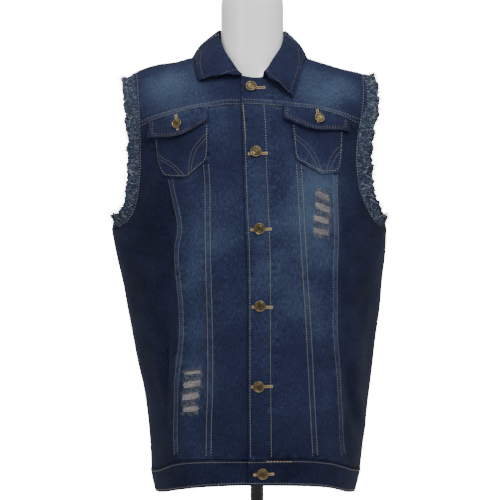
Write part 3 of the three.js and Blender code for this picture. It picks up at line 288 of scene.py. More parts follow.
# Small creases: from one point to another in mm on the front or back, half width and depth
CREASES = table(
    "face x1 z1 x2 z2 wide deep",
    ("front", -144, 722, -130, 630, 8, 6.0),
    ("front", -134, 640, -136, 545, 8, 5.4),
    ("front", -130, 556, -127, 440, 8, 4.0),
    ("front", -108, 668, -111, 596, 6, 1.8),
    ("front", -222, 626, -140, 592, 10, 6.5),
    ("front", -210, 590, -150, 556, 14, -3.5),
    ("front", -198, 532, -146, 512, 10, 4.2),
    ("front", -56, 592, -20, 612, 4, 1.7),
    ("front", -150, 780, -184, 694, 9, 4.0),
    ("front", 133, 712, 137, 600, 7, 4.4),
    ("front", 132, 606, 133, 470, 7, 3.6),
    ("front", 196, 618, 142, 584, 9, 4.6),
    ("front", 86, 590, 112, 604, 5, 1.6),
    ("front", 96, 566, 64, 552, 5, 1.3),
    ("front", -60, 330, -26, 318, 6, 1.5),
    ("front", 16, 628, 44, 612, 6, 1.2),
    ("front", 20, 640, 52, 634, 5, -0.9),
    ("front", 22, 318, 62, 308, 6, 1.6),
    ("front", 24, 302, 70, 300, 4, -1.0),
    ("front", 136, 430, 160, 320, 9, 4.4),
    ("front", 150, 410, 178, 300, 8, -2.6),
    ("front", -190, 480, -148, 468, 8, 3.0),
    ("front", -178, 570, -150, 500, 8, 1.6),
    ("front", -172, 440, -142, 330, 9, 4.0),
    ("front", 188, 560, 150, 500, 10, 3.4),
    ("front", -90, 352, -120, 330, 6, 1.2),
    ("back", -60, 700, 40, 716, 12, 1.6),
    ("back", -110, 600, -60, 560, 9, 2.0),
    ("back", 100, 610, 48, 570, 9, 2.0),
    ("back", -40, 360, 30, 350, 8, 1.6),
    ("back", -130, 420, -110, 320, 9, 2.0),
    ("back", 118, 430, 96, 320, 9, 2.0),
)


def on_face(point, face):
    """How far a point belongs to the front or the back, from 0 to 1, softly at the sides."""
    toward = -point.y if face == "front" else point.y
    return min(max(toward / SIDE_SOFTNESS, 0.0), 1.0)


def crease_push(point):
    """How far the small creases and the cloth's own unevenness push a point in, in metres."""
    push = RIPPLE_DEPTH * noise.noise(point / RIPPLE_SIZE)
    for row in CREASES:
        share = on_face(point, row["face"])
        if share == 0.0:
            continue
        along = Vector((row["x2"] - row["x1"], row["z2"] - row["z1"]))
        here = Vector((point.x * 1000 - row["x1"], point.z * 1000 - row["z1"]))
        part = here.dot(along) / along.length_squared
        if not 0.0 < part < 1.0:
            continue
        across = (here.x * along.y - here.y * along.x) / along.length
        deepest = math.sin(math.pi * part) ** CREASE_TAPER
        push += share * math.exp(-((across / row["wide"]) ** 2)) * deepest * row["deep"] / 1000
    return push


def body_outward(point):
    """The direction out of the wearer's body, smooth all round."""
    return Vector((point.x / HALF_WIDTH**2, point.y / HALF_DEPTH**2, 0.0)).normalized()


def fade_at(point):
    """How pale the wash has made the cloth, from 0 to 1."""
    pale = 0.0
    for row in FADES:
        dx = (point.x * 1000 - row["x"]) / row["wide"]
        dz = (point.z * 1000 - row["z"]) / row["high"]
        far = (dx * dx + dz * dz) / FADE_SOFTNESS
        pale += on_face(point, row["face"]) * row["fade"] * math.exp(-far)
    return min(pale, 1.0)


def girth_table():
    """Arc length round the body for evenly spaced angles about its middle."""
    angle = np.linspace(-math.pi, math.pi, GIRTH_STEPS)
    x = HALF_WIDTH * np.sin(angle)
    y = HALF_DEPTH * np.cos(angle)
    return angle, np.concatenate([[0.0], np.cumsum(np.hypot(np.diff(x), np.diff(y)))])


GIRTH = girth_table()


def read_all(items, name, width=1, kind=float):
    """One attribute of all the vertices, corners or faces of a mesh."""
    values = np.zeros(len(items) * width, kind)
    items.foreach_get(name, values)
    return values.reshape(-1, width) if width > 1 else values


def lay_weave(mesh, on_shoulders=False):
    """The cloth's UV map in metres: u along the weft round the body, v along the warp."""
    spot = read_all(mesh.vertices, "co", 3)
    corner = read_all(mesh.loops, "vertex_index", kind=int)
    start = read_all(mesh.polygons, "loop_start", kind=int)
    size = read_all(mesh.polygons, "loop_total", kind=int)
    angle = np.arctan2(spot[:, 0] / HALF_WIDTH, -spot[:, 1] / HALF_DEPTH)
    u = (spot[:, 0] if on_shoulders else np.interp(angle, *GIRTH))[corner]
    whole = GIRTH[1][-1]
    widest = np.maximum.reduceat(u, start)[np.repeat(np.arange(len(start)), size)]
    u = np.where(widest - u > whole / 2, u + whole, u)
    v = (spot[:, 2] - np.abs(spot[:, 1]) * WARP_OVER_TOP)[corner]
    mesh.uv_layers.new(name="weave").data.foreach_set("uv", np.column_stack([u, v]).ravel())


def sharp_edges(bm):
    return [e for e in bm.edges if len(e.link_faces) == 2 and e.calc_face_angle() > RIM_ANGLE]


def rim_distance(bm):
    """Each vertex's distance from the rim of its shell, up to a limit, by walking its edges."""
    layer = bm.verts.layers.float.new("rim")
    for vert in bm.verts:
        vert[layer] = RIM_REACH
    front = [vert for edge in sharp_edges(bm) for vert in edge.verts]
    for vert in front:
        vert[layer] = 0.0
    while front:
        reached = []
        for vert in front:
            for edge in vert.link_edges:
                other = edge.other_vert(vert)
                reach = vert[layer] + edge.calc_length()
                if reach < other[layer] - TOUCHING:
                    other[layer] = reach
                    reached.append(other)
        front = reached


def cloth_shell(node, slot, worn=1.0, on_shoulders=False):
    """A rounded, finely creased shell on a cloth solid's form."""
    bm = node_mesh(node)
    limits = {"angle_face_threshold": JOIN_BEND, "angle_shape_threshold": JOIN_SKEW}
    bmesh.ops.join_triangles(bm, faces=bm.faces, **limits)
    crease = bm.edges.layers.float.new("crease_edge")
    for edge in sharp_edges(bm):
        edge[crease] = 1.0
    piece = finish_piece(node + "_cloth", bm, CLOTHS[slot])
    with_modifier(piece, "SUBSURF", levels=SMOOTH_LEVELS, render_levels=SMOOTH_LEVELS)
    bm = bmesh.new()
    bm.from_mesh(piece.data)
    rim_distance(bm)
    pale = bm.verts.layers.float.new("fade")
    for vert in bm.verts:
        vert[pale] = worn * fade_at(vert.co)
        vert.co -= body_outward(vert.co) * crease_push(vert.co)
    bm.to_mesh(piece.data)
    bm.free()
    piece.data.polygons.foreach_set("use_smooth", [True] * len(piece.data.polygons))
    lay_weave(piece.data, on_shoulders)
    return belong(piece, node)


def maths(tree, kind, a, b, c=0.0):
    return add_node(tree, "ShaderNodeMath", {0: a, 1: b, 2: c}, operation=kind).outputs[0]


def painted(tree, name):
    """A value that the mesh carries at each vertex."""
    return add_node(tree, "ShaderNodeAttribute", {}, attribute_name=name).outputs["Fac"]


def run_of_colors(tree, value, colors):
    """Colours that follow each other, each from its own share on."""
    ramp = add_node(tree, "ShaderNodeValToRGB", {"Fac": value})
    first, last = ramp.color_ramp.elements
    first.position, first.color = colors[0]
    last.position, last.color = colors[-1]
    for position, color in colors[1:-1]:
        ramp.color_ramp.elements.new(position).color = color
    return ramp.outputs["Color"]


# Indigo from unworn to most worn
INDIGO = [
    (0.0, (0.0044, 0.0060, 0.0188, 1.0)),
    (0.45, (0.0142, 0.0192, 0.0500, 1.0)),
    (1.0, (0.050, 0.076, 0.128, 1.0)),
]
TWILL_TURN = (0.0, 0.0, math.radians(27))
PUCKERED_RIM = 0.013


def denim(name, lean):
    """Washed indigo twill, leaning towards its paler or its deeper colours."""
    material, tree = new_material(name)
    weave = add_node(tree, "ShaderNodeUVMap", {}, uv_map="weave").outputs["UV"]

    def stretched(across, up, detail, rough):
        inputs = {"Vector": weave, "Scale": (across, up, 1.0)}
        scaled = add_node(tree, "ShaderNodeMapping", inputs).outputs["Vector"]
        inputs = {"Vector": scaled, "Scale": 1.0, "Detail": detail, "Roughness": rough}
        return add_node(tree, "ShaderNodeTexNoise", inputs).outputs["Fac"]

    def uneven(pattern, amount, base):
        return maths(tree, "MULTIPLY_ADD", maths(tree, "SUBTRACT", pattern, 0.5), amount, base)

    slub = stretched(760.0, 120.0, 3.0, 0.6)
    fleck = stretched(1100.0, 900.0, 2.0, 0.7)
    mottle = stretched(300.0, 210.0, 5.0, 0.7)
    slanted = add_node(tree, "ShaderNodeMapping", {"Vector": weave, "Rotation": TWILL_TURN})
    inputs = {"Vector": slanted.outputs["Vector"], "Scale": 330.0, "Distortion": 1.2, "Detail": 2.0}
    bands = {"wave_type": "BANDS", "bands_direction": "X"}
    twill = add_node(tree, "ShaderNodeTexWave", inputs, **bands).outputs["Fac"]
    by_rim = spread(
        tree, painted(tree, "rim"), 1.0, 0.0, 0.0, PUCKERED_RIM, interpolation_type="SMOOTHSTEP"
    )
    pucker = maths(tree, "SUBTRACT", stretched(95.0, 120.0, 2.0, 0.5), 0.5)
    pucker = maths(tree, "MULTIPLY", pucker, by_rim)

    wear = maths(tree, "MULTIPLY_ADD", painted(tree, "fade"), 0.62, 0.2 + lean)
    for pattern, amount in ((grain(tree, 17.0, 4.0), 0.7), (mottle, 0.75), (slub, 0.75)):
        wear = uneven(pattern, amount, wear)
    wear = uneven(twill, 0.1, maths(tree, "MULTIPLY_ADD", pucker, 0.9, wear))
    color = run_of_colors(tree, wear, INDIGO)

    height = maths(tree, "MULTIPLY_ADD", twill, 0.35, maths(tree, "MULTIPLY", slub, 0.6))
    height = maths(tree, "MULTIPLY_ADD", mottle, 0.5, height)
    height = maths(tree, "MULTIPLY_ADD", pucker, 3.5, height)
    look = {
        "Base Color": blend(tree, spread(tree, fleck, 0.0, 0.3, 0.62, 0.8), color, INDIGO[-1][1]),
        "Normal": relief(tree, height, 0.55, 0.0011),
        "Roughness": spread(tree, mottle, 0.82, 0.95),
        "Specular IOR Level": 0.08,
        "Sheen Weight": 0.03,
        "Sheen Roughness": 0.5,
    }
    return finish_material(material, look)


CLOTHS = {"denim_faded": denim("denim_faded", 0.06), "denim_dark": denim("denim_dark", -0.06)}
PANELS = [
    "front_centre_right", "front_centre_left", "front_mid_right", "front_mid_left",
    "front_side_right", "front_side_left", "back_centre", "back_side_right", "back_side_left",
]
shells = {}
for node in PANELS:
    shells[node] = cloth_shell(node, "denim_dark" if "_side_" in node else "denim_faded")

# Yokes: the same cloth over the shoulders and the upper back, most worn where the shoulders
# turn. Each is one layer, felled to the panels below it and to its neighbour on the shoulder.
for node in ("yoke_front_right", "yoke_front_left", "yoke_back"):
    shells[node] = cloth_shell(node, "denim_faded", on_shoulders=True)

# Placket and waistband: doubled strips of the same cloth, pressed flat, which close the front and
# gather the hem. The placket's free edge leans over the right front, and inside the waistband's
# seam the panels' raw edges stand up as a narrow strip.
PLACKET_LEAN_HEIGHTS = (0.55, 0.66, 0.76, 0.84, 0.9)
PLACKET_LEANS = (0.0, 0.0045, 0.008, 0.011, 0.012)
CLOTH_OVER_CLOTH = 0.0002
BAND_MIDDLE = Vector((-0.008, 0.0, 0.0))
BAND_SLICE = 3.0
ALLOWANCE_STEPS = 120
ALLOWANCE_HALF_HEIGHT = 0.008
ALLOWANCE_INSIDE = 0.0018
ALLOWANCE_THICK = 0.001
ALLOWANCE_TURN = math.radians(1.5)


def cloth_tree(pieces):
    """What the needle meets: the cloth pieces in one search tree."""
    spots = []
    faces = []
    for shell in pieces:
        first = len(spots)
        spots.extend(vert.co.copy() for vert in shell.data.vertices)
        faces.extend([first + k for k in polygon.vertices] for polygon in shell.data.polygons)
    return BVHTree.FromPolygons(spots, faces)


def lean_placket():
    """Leans the placket's free edge towards the wearer's right, on top of the right front."""
    under = cloth_tree([shells["front_centre_right"], shells["yoke_front_right"]])
    low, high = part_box("placket")
    for vert in shells["placket"].data.vertices:
        share = (high.x - vert.co.x) / (high.x - low.x)
        vert.co.x -= share * float(np.interp(vert.co.z, PLACKET_LEAN_HEIGHTS, PLACKET_LEANS))
        if vert.co.x < low.x:
            spot, _, _, _ = under.ray_cast(Vector((vert.co.x, -1, vert.co.z)), Vector((0, 1, 0)))
            if spot is not None:
                vert.co.y = min(vert.co.y, spot.y - CLOTH_OVER_CLOTH)


def band_edges():
    """Degrees round the waistband, and the heights of its top and bottom edges there."""
    tops = {}
    lows = {}
    for vert in shells["waistband"].data.vertices:
        aside = vert.co - BAND_MIDDLE
        angle = round(math.degrees(math.atan2(aside.x, -aside.y)) / BAND_SLICE)
        tops[angle] = max(tops.get(angle, -1.0), vert.co.z)
        lows[angle] = min(lows.get(angle, 9.0), vert.co.z)
    order = sorted(tops)
    degrees = np.array(order) * BAND_SLICE
    return degrees, np.array([tops[k] for k in order]), np.array([lows[k] for k in order])


def waist_allowance():
    """The strip of raw edges inside the waist seam, all round."""
    inside = cloth_tree(shells.values())
    degrees, tops, _ = band_edges()
    bm = bmesh.new()
    bmesh.ops.create_circle(bm, segments=ALLOWANCE_STEPS, radius=1.0)
    lower = set(bm.verts)
    bmesh.ops.extrude_edge_only(bm, edges=bm.edges)
    for vert in bm.verts:
        toward = Vector((vert.co.x, vert.co.y, 0.0)).normalized()
        top = float(np.interp(math.degrees(math.atan2(toward.x, -toward.y)), degrees, tops))
        reach = []
        for rise in (-ALLOWANCE_HALF_HEIGHT / 2, ALLOWANCE_HALF_HEIGHT / 2):
            for turn in (-ALLOWANCE_TURN, 0.0, ALLOWANCE_TURN):
                way = Matrix.Rotation(turn, 3, "Z") @ toward
                hit = inside.ray_cast(BAND_MIDDLE + Vector((0, 0, top + rise)), way)
                reach += hit[3:] if hit[3] else ()
        rise = -ALLOWANCE_HALF_HEIGHT if vert in lower else ALLOWANCE_HALF_HEIGHT
        vert.co = BAND_MIDDLE + toward * (min(reach) - ALLOWANCE_INSIDE)
        vert.co.z = top + rise
    bmesh.ops.solidify(bm, geom=bm.faces, thickness=ALLOWANCE_THICK)
    bmesh.ops.recalc_face_normals(bm, faces=bm.faces)
    piece = finish_piece("waist_seam_allowance", bm, CLOTHS["denim_dark"])
    lay_weave(piece.data)
    return belong(piece)


shells["placket"] = cloth_shell("placket", "denim_faded")
lean_placket()
shells["waistband"] = cloth_shell("waistband", "denim_dark")
waist_strip = waist_allowance()

# Chest pockets and their flaps: patches of the same cloth, sewn down round their edges, and flaps
# caught in the yoke seam, which stand off the pockets.
for node in ("pocket_right", "pocket_left", "flap_right", "flap_left"):
    shells[node] = cloth_shell(node, "denim_faded")

# The collar: a pressed fold of the same cloth, sewn to the neckline and turned down on the yokes.
# Both of its front ends droop a little over the neckline.
COLLAR_DROOPS = table("x wide", (-0.0295, 0.011), (0.0205, 0.008))
DROOP_TOP = 0.915
DROOP_REACH = 0.015
DROOP = Vector((0.0, -0.0016, -0.0042))


def droop_collar():
    for vert in shells["collar"].data.vertices:
        if vert.co.y < 0 and vert.co.z < DROOP_TOP:
            far = [(vert.co.x - row["x"]) / row["wide"] for row in COLLAR_DROOPS]
            share = sum(math.exp(-(part**2)) for part in far)
            vert.co += DROOP * share * min((DROOP_TOP - vert.co.z) / DROOP_REACH, 1.0)


shells["collar"] = cloth_shell("collar", "denim_faded", 0.3, on_shoulders=True)
droop_collar()

# Felled seams: each seam's turned-in edges lie under one raised strip about 10 mm wide, which two
# rows of thread hold down and pull into puckers. Sizes in mm on the front or back.
LAP_WIDTH = 10.0
# The strip's section: share of its width, and height over the cloth under it
LAP_ACROSS = [
    (-0.5, -2.0), (-0.49, 0.35), (-0.4, 0.75), (0.0, 0.85), (0.4, 0.75), (0.49, 0.35), (0.5, -2.0),
]
LAP_MIDDLE = 3
LAP_PUCKER = 0.4
LAP_PUCKER_ALONG = 0.8
LAP_PUCKER_ACROSS = 3.0
LAP_STEP = 2.5
LAP_RIM = 0.007
LAP_STRADDLE = 3.0
NEEDLE_REACH = 6.0
INNER_SEAM_RIGHT = [
    (-78.8, 744), (-76.5, 716), (-76.3, 680), (-76.0, 629), (-74.7, 568), (-73.6, 537),
    (-72.1, 476), (-71.8, 430), (-72.5, 384), (-74.0, 354), (-74.6, 300),
]
INNER_SEAM_LEFT = [
    (64.2, 744), (67.2, 691), (70.1, 629), (74.0, 568), (77.8, 507), (81.2, 445), (84.0, 384),
    (86.0, 353), (88.6, 300),
]
OUTER_SEAM_RIGHT = [
    (-134.5, 723), (-131.3, 707), (-127.5, 691), (-123.7, 676), (-120.5, 660), (-118.9, 645),
    (-121, 632), (-123.6, 622), (-124.8, 606), (-123.5, 586), (-121.3, 568), (-119.8, 552),
    (-118.2, 537), (-116.6, 506), (-116.6, 476), (-120.6, 445), (-125.2, 406), (-125.2, 367),
    (-126.8, 336), (-125.3, 299),
]
OUTER_SEAM_LEFT = [
    (120.5, 729), (120.8, 691), (122.5, 660), (122.7, 629), (120.6, 599), (120.0, 568),
    (120.3, 537), (119.7, 491), (121.3, 468), (123.7, 444), (126.1, 413), (127.7, 382),
    (129.4, 351), (130.4, 320), (133.3, 298),
]
YOKE_SEAM_RIGHT = [
    (-184, 811.5), (-167.8, 818.8), (-151.8, 824), (-136, 828), (-120.3, 832), (-104.6, 836),
    (-89, 839), (-65.6, 841), (-57.8, 843), (-50.1, 844.5), (-27.5, 844.1),
]
YOKE_SEAM_LEFT = [
    (29, 842.5), (40, 841.5), (66.6, 839), (82.2, 837.6), (93.1, 836.2), (105.7, 833.4),
    (121.5, 829.6), (137.4, 825), (145.3, 821.6), (158, 817),
]
YOKE_SEAM_PLACKET = [(-22.5, 845.5), (4, 844.5), (26.0, 842.8)]
PLACKET_FOLD = [(24, 299), (24, 420), (24, 640), (24, 868)]
BACK_YOKE_SEAM = [
    (-186, 806.5), (-130, 809), (-60, 810.5), (-8, 811), (50, 810.5), (120, 809), (172, 806.8),
]
BACK_SEAM_RIGHT = [(-111, 800), (-100, 690), (-89, 550), (-79, 400), (-72, 290)]
BACK_SEAM_LEFT = [(95, 800), (84, 690), (73, 550), (63, 400), (56, 290)]
# On the shoulders a place is across and forward
SHOULDER_SEAM_RIGHT = [(-62, -6), (-100, -6), (-150, -6), (-190, -6)]
SHOULDER_SEAM_LEFT = [(46, -6), (84, -6), (130, -6), (164, -6)]
# A flap's top edge is stretched up under the yoke seam's strip: from this far below the seam's
# line, with the whole rise at the edge
TUCK_FROM = 16.0
TUCK_EDGE = 5.0
TUCK_RISE = 3.5
LOOKING = {"front": Vector((0, 1, 0)), "back": Vector((0, -1, 0)), "top": Vector((0, 0, -1))}
CORNER_CUT = 0.25
CORNER_ROUNDS = 2
NO_LENGTH = 1e-9


def tuck_flap(node, seam):
    """Raises a flap's top edge under the strip of the yoke seam that holds it."""
    places, heights = zip(*seam)
    for vert in shells[node].data.vertices:
        below = float(np.interp(vert.co.x * 1000, places, heights)) - vert.co.z * 1000
        share = min(max((TUCK_FROM - below) / (TUCK_FROM - TUCK_EDGE), 0.0), 1.0)
        vert.co.z += share * TUCK_RISE / 1000


tuck_flap("flap_right", YOKE_SEAM_RIGHT)
tuck_flap("flap_left", YOKE_SEAM_LEFT)
cloth = cloth_tree(shells.values())


def on_cloth(x, z, side):
    """Where the outermost cloth is behind a place in mm, and its outward direction there."""
    away = LOOKING[side]
    here = Vector((x, z, 0)) if side == "top" else Vector((x, 0, z))
    spot, normal, _, _ = cloth.ray_cast(here / 1000 - 2 * away, away)
    if spot is None:
        return None
    return spot, (normal if normal.dot(away) < 0 else -normal)


def along(points, step):
    """Points a step apart along a line through the given ones, rounded at its corners."""
    line = [Vector(p) for p in points]
    for _ in range(CORNER_ROUNDS):
        cut = [line[0]]
        for a, b in zip(line, line[1:]):
            cut += [a.lerp(b, CORNER_CUT), a.lerp(b, 1 - CORNER_CUT)]
        line = cut + [line[-1]]
    far = [0.0]
    for a, b in zip(line, line[1:]):
        far.append(far[-1] + (b - a).length)
    count = max(int(far[-1] / step), 2)
    spaced = []
    k = 0
    for n in range(count + 1):
        want = far[-1] * n / count
        while k < len(line) - 2 and far[k + 1] < want:
            k += 1
        part = (want - far[k]) / max(far[k + 1] - far[k], NO_LENGTH)
        spaced.append(line[k].lerp(line[k + 1], part))
    return spaced


def followed(points, side, step, straddle=0.0):
    """Stations along a line on the cloth: place, outward direction, and direction of travel.
    A line on a seam straddles it, so that no place falls into the seam's gap."""
    flat = along(points, step)
    found = []
    for k, p in enumerate(flat):
        ahead = flat[min(k + 1, len(flat) - 1)] - flat[max(k - 1, 0)]
        aside = Vector((-ahead.y, ahead.x)).normalized() * straddle
        hits = [on_cloth(p.x + sign * aside.x, p.y + sign * aside.y, side) for sign in (-1, 1)]
        if all(hits):
            (a, normal_a), (b, normal_b) = hits
            found.append(((a + b) / 2, (normal_a + normal_b).normalized()))
    stations = []
    for k, (spot, normal) in enumerate(found):
        travel = (found[min(k + 1, len(found) - 1)][0] - found[max(k - 1, 0)][0]).normalized()
        stations.append((spot, normal, travel))
    return stations


def lap_section(order, station, width, raised, seed):
    """The strip's section at one station, laid over whatever cloth is under it."""
    spot, normal, travel = station
    across = travel.cross(normal).normalized()
    rises = []
    for reach, _ in LAP_ACROSS:
        start = spot + (across * reach * width + normal * NEEDLE_REACH) / 1000
        depth = cloth.ray_cast(start, -normal, 3 * NEEDLE_REACH / 1000)[3]
        rises.append(NEEDLE_REACH - depth * 1000 if depth is not None else 0.0)
    rises[LAP_MIDDLE] = (rises[LAP_MIDDLE - 1] + rises[LAP_MIDDLE + 1]) / 2
    places = []
    for (reach, rise), under in zip(LAP_ACROSS, rises):
        here = Vector((order * LAP_PUCKER_ALONG, reach * LAP_PUCKER_ACROSS, seed))
        pucker = 1.0 + LAP_PUCKER * noise.noise(here)
        lift = under + rise * (pucker * raised if rise > 0 else 1.0)
        places.append(spot + (across * reach * width + normal * lift) / 1000)
    return places


def add_lap(bm, points, side, width, raised):
    """A seam's raised strip: a closed section carried along the seam and closed at both ends."""
    stations = followed(points, side, LAP_STEP, LAP_STRADDLE)
    places = lap_section(0, stations[0], width, raised, points[0][0])
    ring = [bm.verts.new(place) for place in places]
    edges = [bm.edges.new((ring[k], ring[(k + 1) % len(ring)])) for k in range(len(ring))]
    ends = [edges]
    for order, station in enumerate(stations[1:], 1):
        moved = bmesh.ops.extrude_edge_only(bm, edges=edges)["geom"]
        edges = [item for item in moved if isinstance(item, bmesh.types.BMEdge)]
        grown = {}
        for vert in ring:
            for edge in vert.link_edges:
                other = edge.other_vert(vert)
                if other in moved:
                    grown[vert] = other
        ring = [grown[vert] for vert in ring]
        for vert, place in zip(ring, lap_section(order, station, width, raised, points[0][0])):
            vert.co = place
    ends.append(edges)
    for end in ends:
        bmesh.ops.edgeloop_fill(bm, edges=end)


def lapped(name, rows):
    """Several seams' strips as one piece, each as much paler, as wide and as raised as its row."""
    bm = bmesh.new()
    rim_layer = bm.verts.layers.float.new("rim")
    pale = bm.verts.layers.float.new("fade")
    for row in rows:
        earlier = set(bm.verts)
        add_lap(bm, row["points"], row["side"], row["width"], row["raised"])
        for vert in set(bm.verts) - earlier:
            vert[rim_layer] = LAP_RIM
            vert[pale] = min(max(fade_at(vert.co) + row["paler"], 0.0), 1.0)
    bmesh.ops.recalc_face_normals(bm, faces=bm.faces)
    piece = finish_piece(name, bm, CLOTHS["denim_faded"])
    lay_weave(piece.data)
    return belong(piece)


FRONT_LAPS = table(
    "points side paler width raised",
    (INNER_SEAM_RIGHT, "front", 0.08, LAP_WIDTH, 1.0),
    (INNER_SEAM_LEFT, "front", 0.08, LAP_WIDTH, 1.0),
    (OUTER_SEAM_RIGHT, "front", 0.3, LAP_WIDTH, 1.3),
    (OUTER_SEAM_LEFT, "front", 0.26, LAP_WIDTH, 1.2),
    (YOKE_SEAM_RIGHT, "front", 0.14, LAP_WIDTH, 1.0),
    (YOKE_SEAM_LEFT, "front", 0.14, LAP_WIDTH, 1.0),
    (YOKE_SEAM_PLACKET, "front", 0.1, LAP_WIDTH, 0.8),
    (PLACKET_FOLD, "front", -0.04, 6.0, 0.35),
    (SHOULDER_SEAM_RIGHT, "top", 0.3, LAP_WIDTH, 1.0),
    (SHOULDER_SEAM_LEFT, "top", 0.3, LAP_WIDTH, 1.0),
)
BACK_LAPS = table(
    "points side paler width raised",
    (BACK_YOKE_SEAM, "back", 0.14, LAP_WIDTH, 1.0),
    (BACK_SEAM_RIGHT, "back", 0.2, LAP_WIDTH, 1.0),
    (BACK_SEAM_LEFT, "back", 0.2, LAP_WIDTH, 1.0),
)
front_laps = lapped("felled_seams_front", FRONT_LAPS)
back_laps = lapped("felled_seams_back", BACK_LAPS)

# Topstitching: heavy beige thread, in rows beside every edge and seam. Rows on the yoke, the outer
# seams and the small pieces are of a duller and mostly finer thread. Sizes in mm.
THREAD_COLOR = (0.36, 0.33, 0.255, 1.0)
DULL_THREAD_COLOR = (0.25, 0.205, 0.15, 1.0)
BRIGHT_THREAD_COLOR = (0.5, 0.37, 0.17, 1.0)
STITCH_PITCH = 4.3
STITCH_LENGTH = 2.3
STITCH_RADIUS = 0.6
STITCH_STANDS = 0.25
FINE_RADIUS = 0.42
ARC_PITCH = 3.4
ONE_ROW = (0.0,)
SEAM_ROWS = (-3.9, 3.9)
NARROW_SEAM_ROWS = (-3.6, 3.6)
YOKE_ROWS = (-3.0, 3.6)
FLAP_ROWS = (0.0, 3.0)
BAND_STITCHES = 220
BAND_ROWS_INSIDE = 4.0
BAND_STITCH_LIFT = 0.1
cloth = cloth_tree([*shells.values(), front_laps, back_laps])
PLACKET_EDGE = [
    (-18.2, 782), (-17.6, 752), (-15.6, 691), (-14.1, 660), (-12.6, 629), (-11.8, 599),
    (-11.2, 538), (-11.2, 461), (-11.2, 385), (-10.6, 324), (-10.4, 300),
]
PLACKET_SECOND = [
    (10.5, 838), (13.4, 799), (13.9, 745), (16.4, 691), (19.0, 629), (19.8, 599), (20.2, 538),
    (20.2, 416), (20.6, 385), (21.0, 354), (21.4, 300),
]
POCKET_EDGE_RIGHT = [
    (-157.4, 784), (-155.4, 762), (-152, 746), (-145.2, 731.6), (-135, 729.8), (-119, 728.6),
    (-109.3, 728.4), (-104.4, 732.6), (-89, 745.6), (-78.2, 754), (-78.2, 806),
]
POCKET_EDGE_LEFT = [
    (56.4, 806), (58.8, 784), (60.8, 756), (73, 750), (84.5, 743.4), (99.4, 736), (112.7, 736.4),
    (127.4, 738), (130.2, 770), (131.8, 796),
]
FLAP_EDGE_RIGHT = [
    (-166.4, 812), (-165.2, 792.6), (-153.6, 791.6), (-137, 790.6), (-124.5, 791.8),
    (-110.4, 797), (-92, 806), (-79, 814.5),
]
FLAP_EDGE_LEFT = [
    (43, 830), (45.6, 820.6), (58.4, 815.4), (73.9, 809.8), (84.7, 804.6), (94.1, 802.2),
    (113, 803.6), (139, 803.4), (139.6, 815),
]
# Plain double curves on the pockets, from their sides to their points
POCKET_ARCS = [
    [(-80, 793), (-89, 784), (-99, 772), (-104, 759), (-105.4, 745), (-106.1, 732)],
    [(-80, 786), (-86, 779), (-94.6, 768.5), (-99, 757.6), (-100.9, 748), (-102.2, 735)],
    [(-153.8, 762), (-146.3, 756), (-135.5, 751), (-126, 743), (-118, 735), (-114, 731)],
    [(-151.5, 755), (-143, 750), (-132, 743), (-125, 736), (-121, 731)],
    [(58, 793), (68, 786), (81.6, 775), (90.8, 761), (95.5, 748.5), (98.5, 738)],
    [(58, 786), (67, 780), (78.4, 768.5), (86, 756), (90.8, 746), (93.8, 740)],
    [(131.5, 777), (121, 769.5), (114.4, 758), (110, 747), (107.5, 739)],
    [(131.5, 769), (124, 762), (118, 751), (114.6, 739)],
]
ARMHOLE_FRONT_RIGHT = [
    (-204, 659), (-193, 674), (-188.5, 690), (-185, 710), (-183, 740), (-183, 780), (-185, 820),
    (-187, 850), (-190, 880), (-192, 897),
]
ARMHOLE_FRONT_LEFT = [
    (185, 659), (175, 674), (168, 690), (161, 710), (155.5, 740), (155, 770), (159, 800),
    (165, 830), (169, 860), (168, 897),
]
ARMHOLE_BACK_RIGHT = [
    (-208, 659), (-199, 674), (-194, 690), (-190, 710), (-186, 745), (-187, 790), (-190, 835),
    (-192, 870), (-192, 900),
]
ARMHOLE_BACK_LEFT = [
    (187, 659), (179, 674), (174, 690), (170, 710), (166, 745), (169, 790), (173, 835),
    (172, 870), (168, 900),
]
COLLAR_EDGE_RIGHT = [
    (-88, 930), (-90.5, 914), (-88.5, 898), (-84, 881.5), (-75, 880.5), (-54.9, 889.5),
    (-40.9, 894.5), (-30, 896),
]
COLLAR_EDGE_LEFT = [
    (65, 931), (67, 914), (64, 899), (57.5, 880), (51.6, 857.5), (43, 866.5), (35, 876.5),
    (27, 882.5), (14, 896),
]


def beside(points, shift):
    """A row's line moved to one side, in mm."""
    line = [Vector(p) for p in points]
    moved = []
    for k, p in enumerate(line):
        ahead = line[min(k + 1, len(line) - 1)] - line[max(k - 1, 0)]
        moved.append(p + Vector((-ahead.y, ahead.x)).normalized() * shift)
    return moved


def stitch_shape():
    """One stitch: a short fat thread along X whose ends dip into the cloth."""
    bm = bmesh.new()
    bmesh.ops.create_uvsphere(bm, u_segments=6, v_segments=4, radius=1.0)
    turn = Matrix.Rotation(math.pi / 2, 3, "Y")
    bmesh.ops.rotate(bm, verts=bm.verts, cent=(0, 0, 0), matrix=turn)
    bmesh.ops.scale(bm, verts=bm.verts, vec=(0.5, 1.0, 1.0))
    bmesh.ops.triangulate(bm, faces=bm.faces)
    spots = np.array([vert.co for vert in bm.verts])
    faces = np.array([[vert.index for vert in face.verts] for face in bm.faces])
    bm.free()
    return spots, faces


STITCH_SPOTS, STITCH_FACES = stitch_shape()


def from_arrays(name, spots, faces, material, shades=None):
    """A smooth piece of many small like things, from arrays of their corners and faces."""
    mesh = bpy.data.meshes.new(name)
    mesh.from_pydata(np.asarray(spots).tolist(), [], faces)
    if shades is not None:
        mesh.attributes.new("shade", "FLOAT", "POINT").data.foreach_set("value", shades)
    return place_mesh(name, mesh, material)


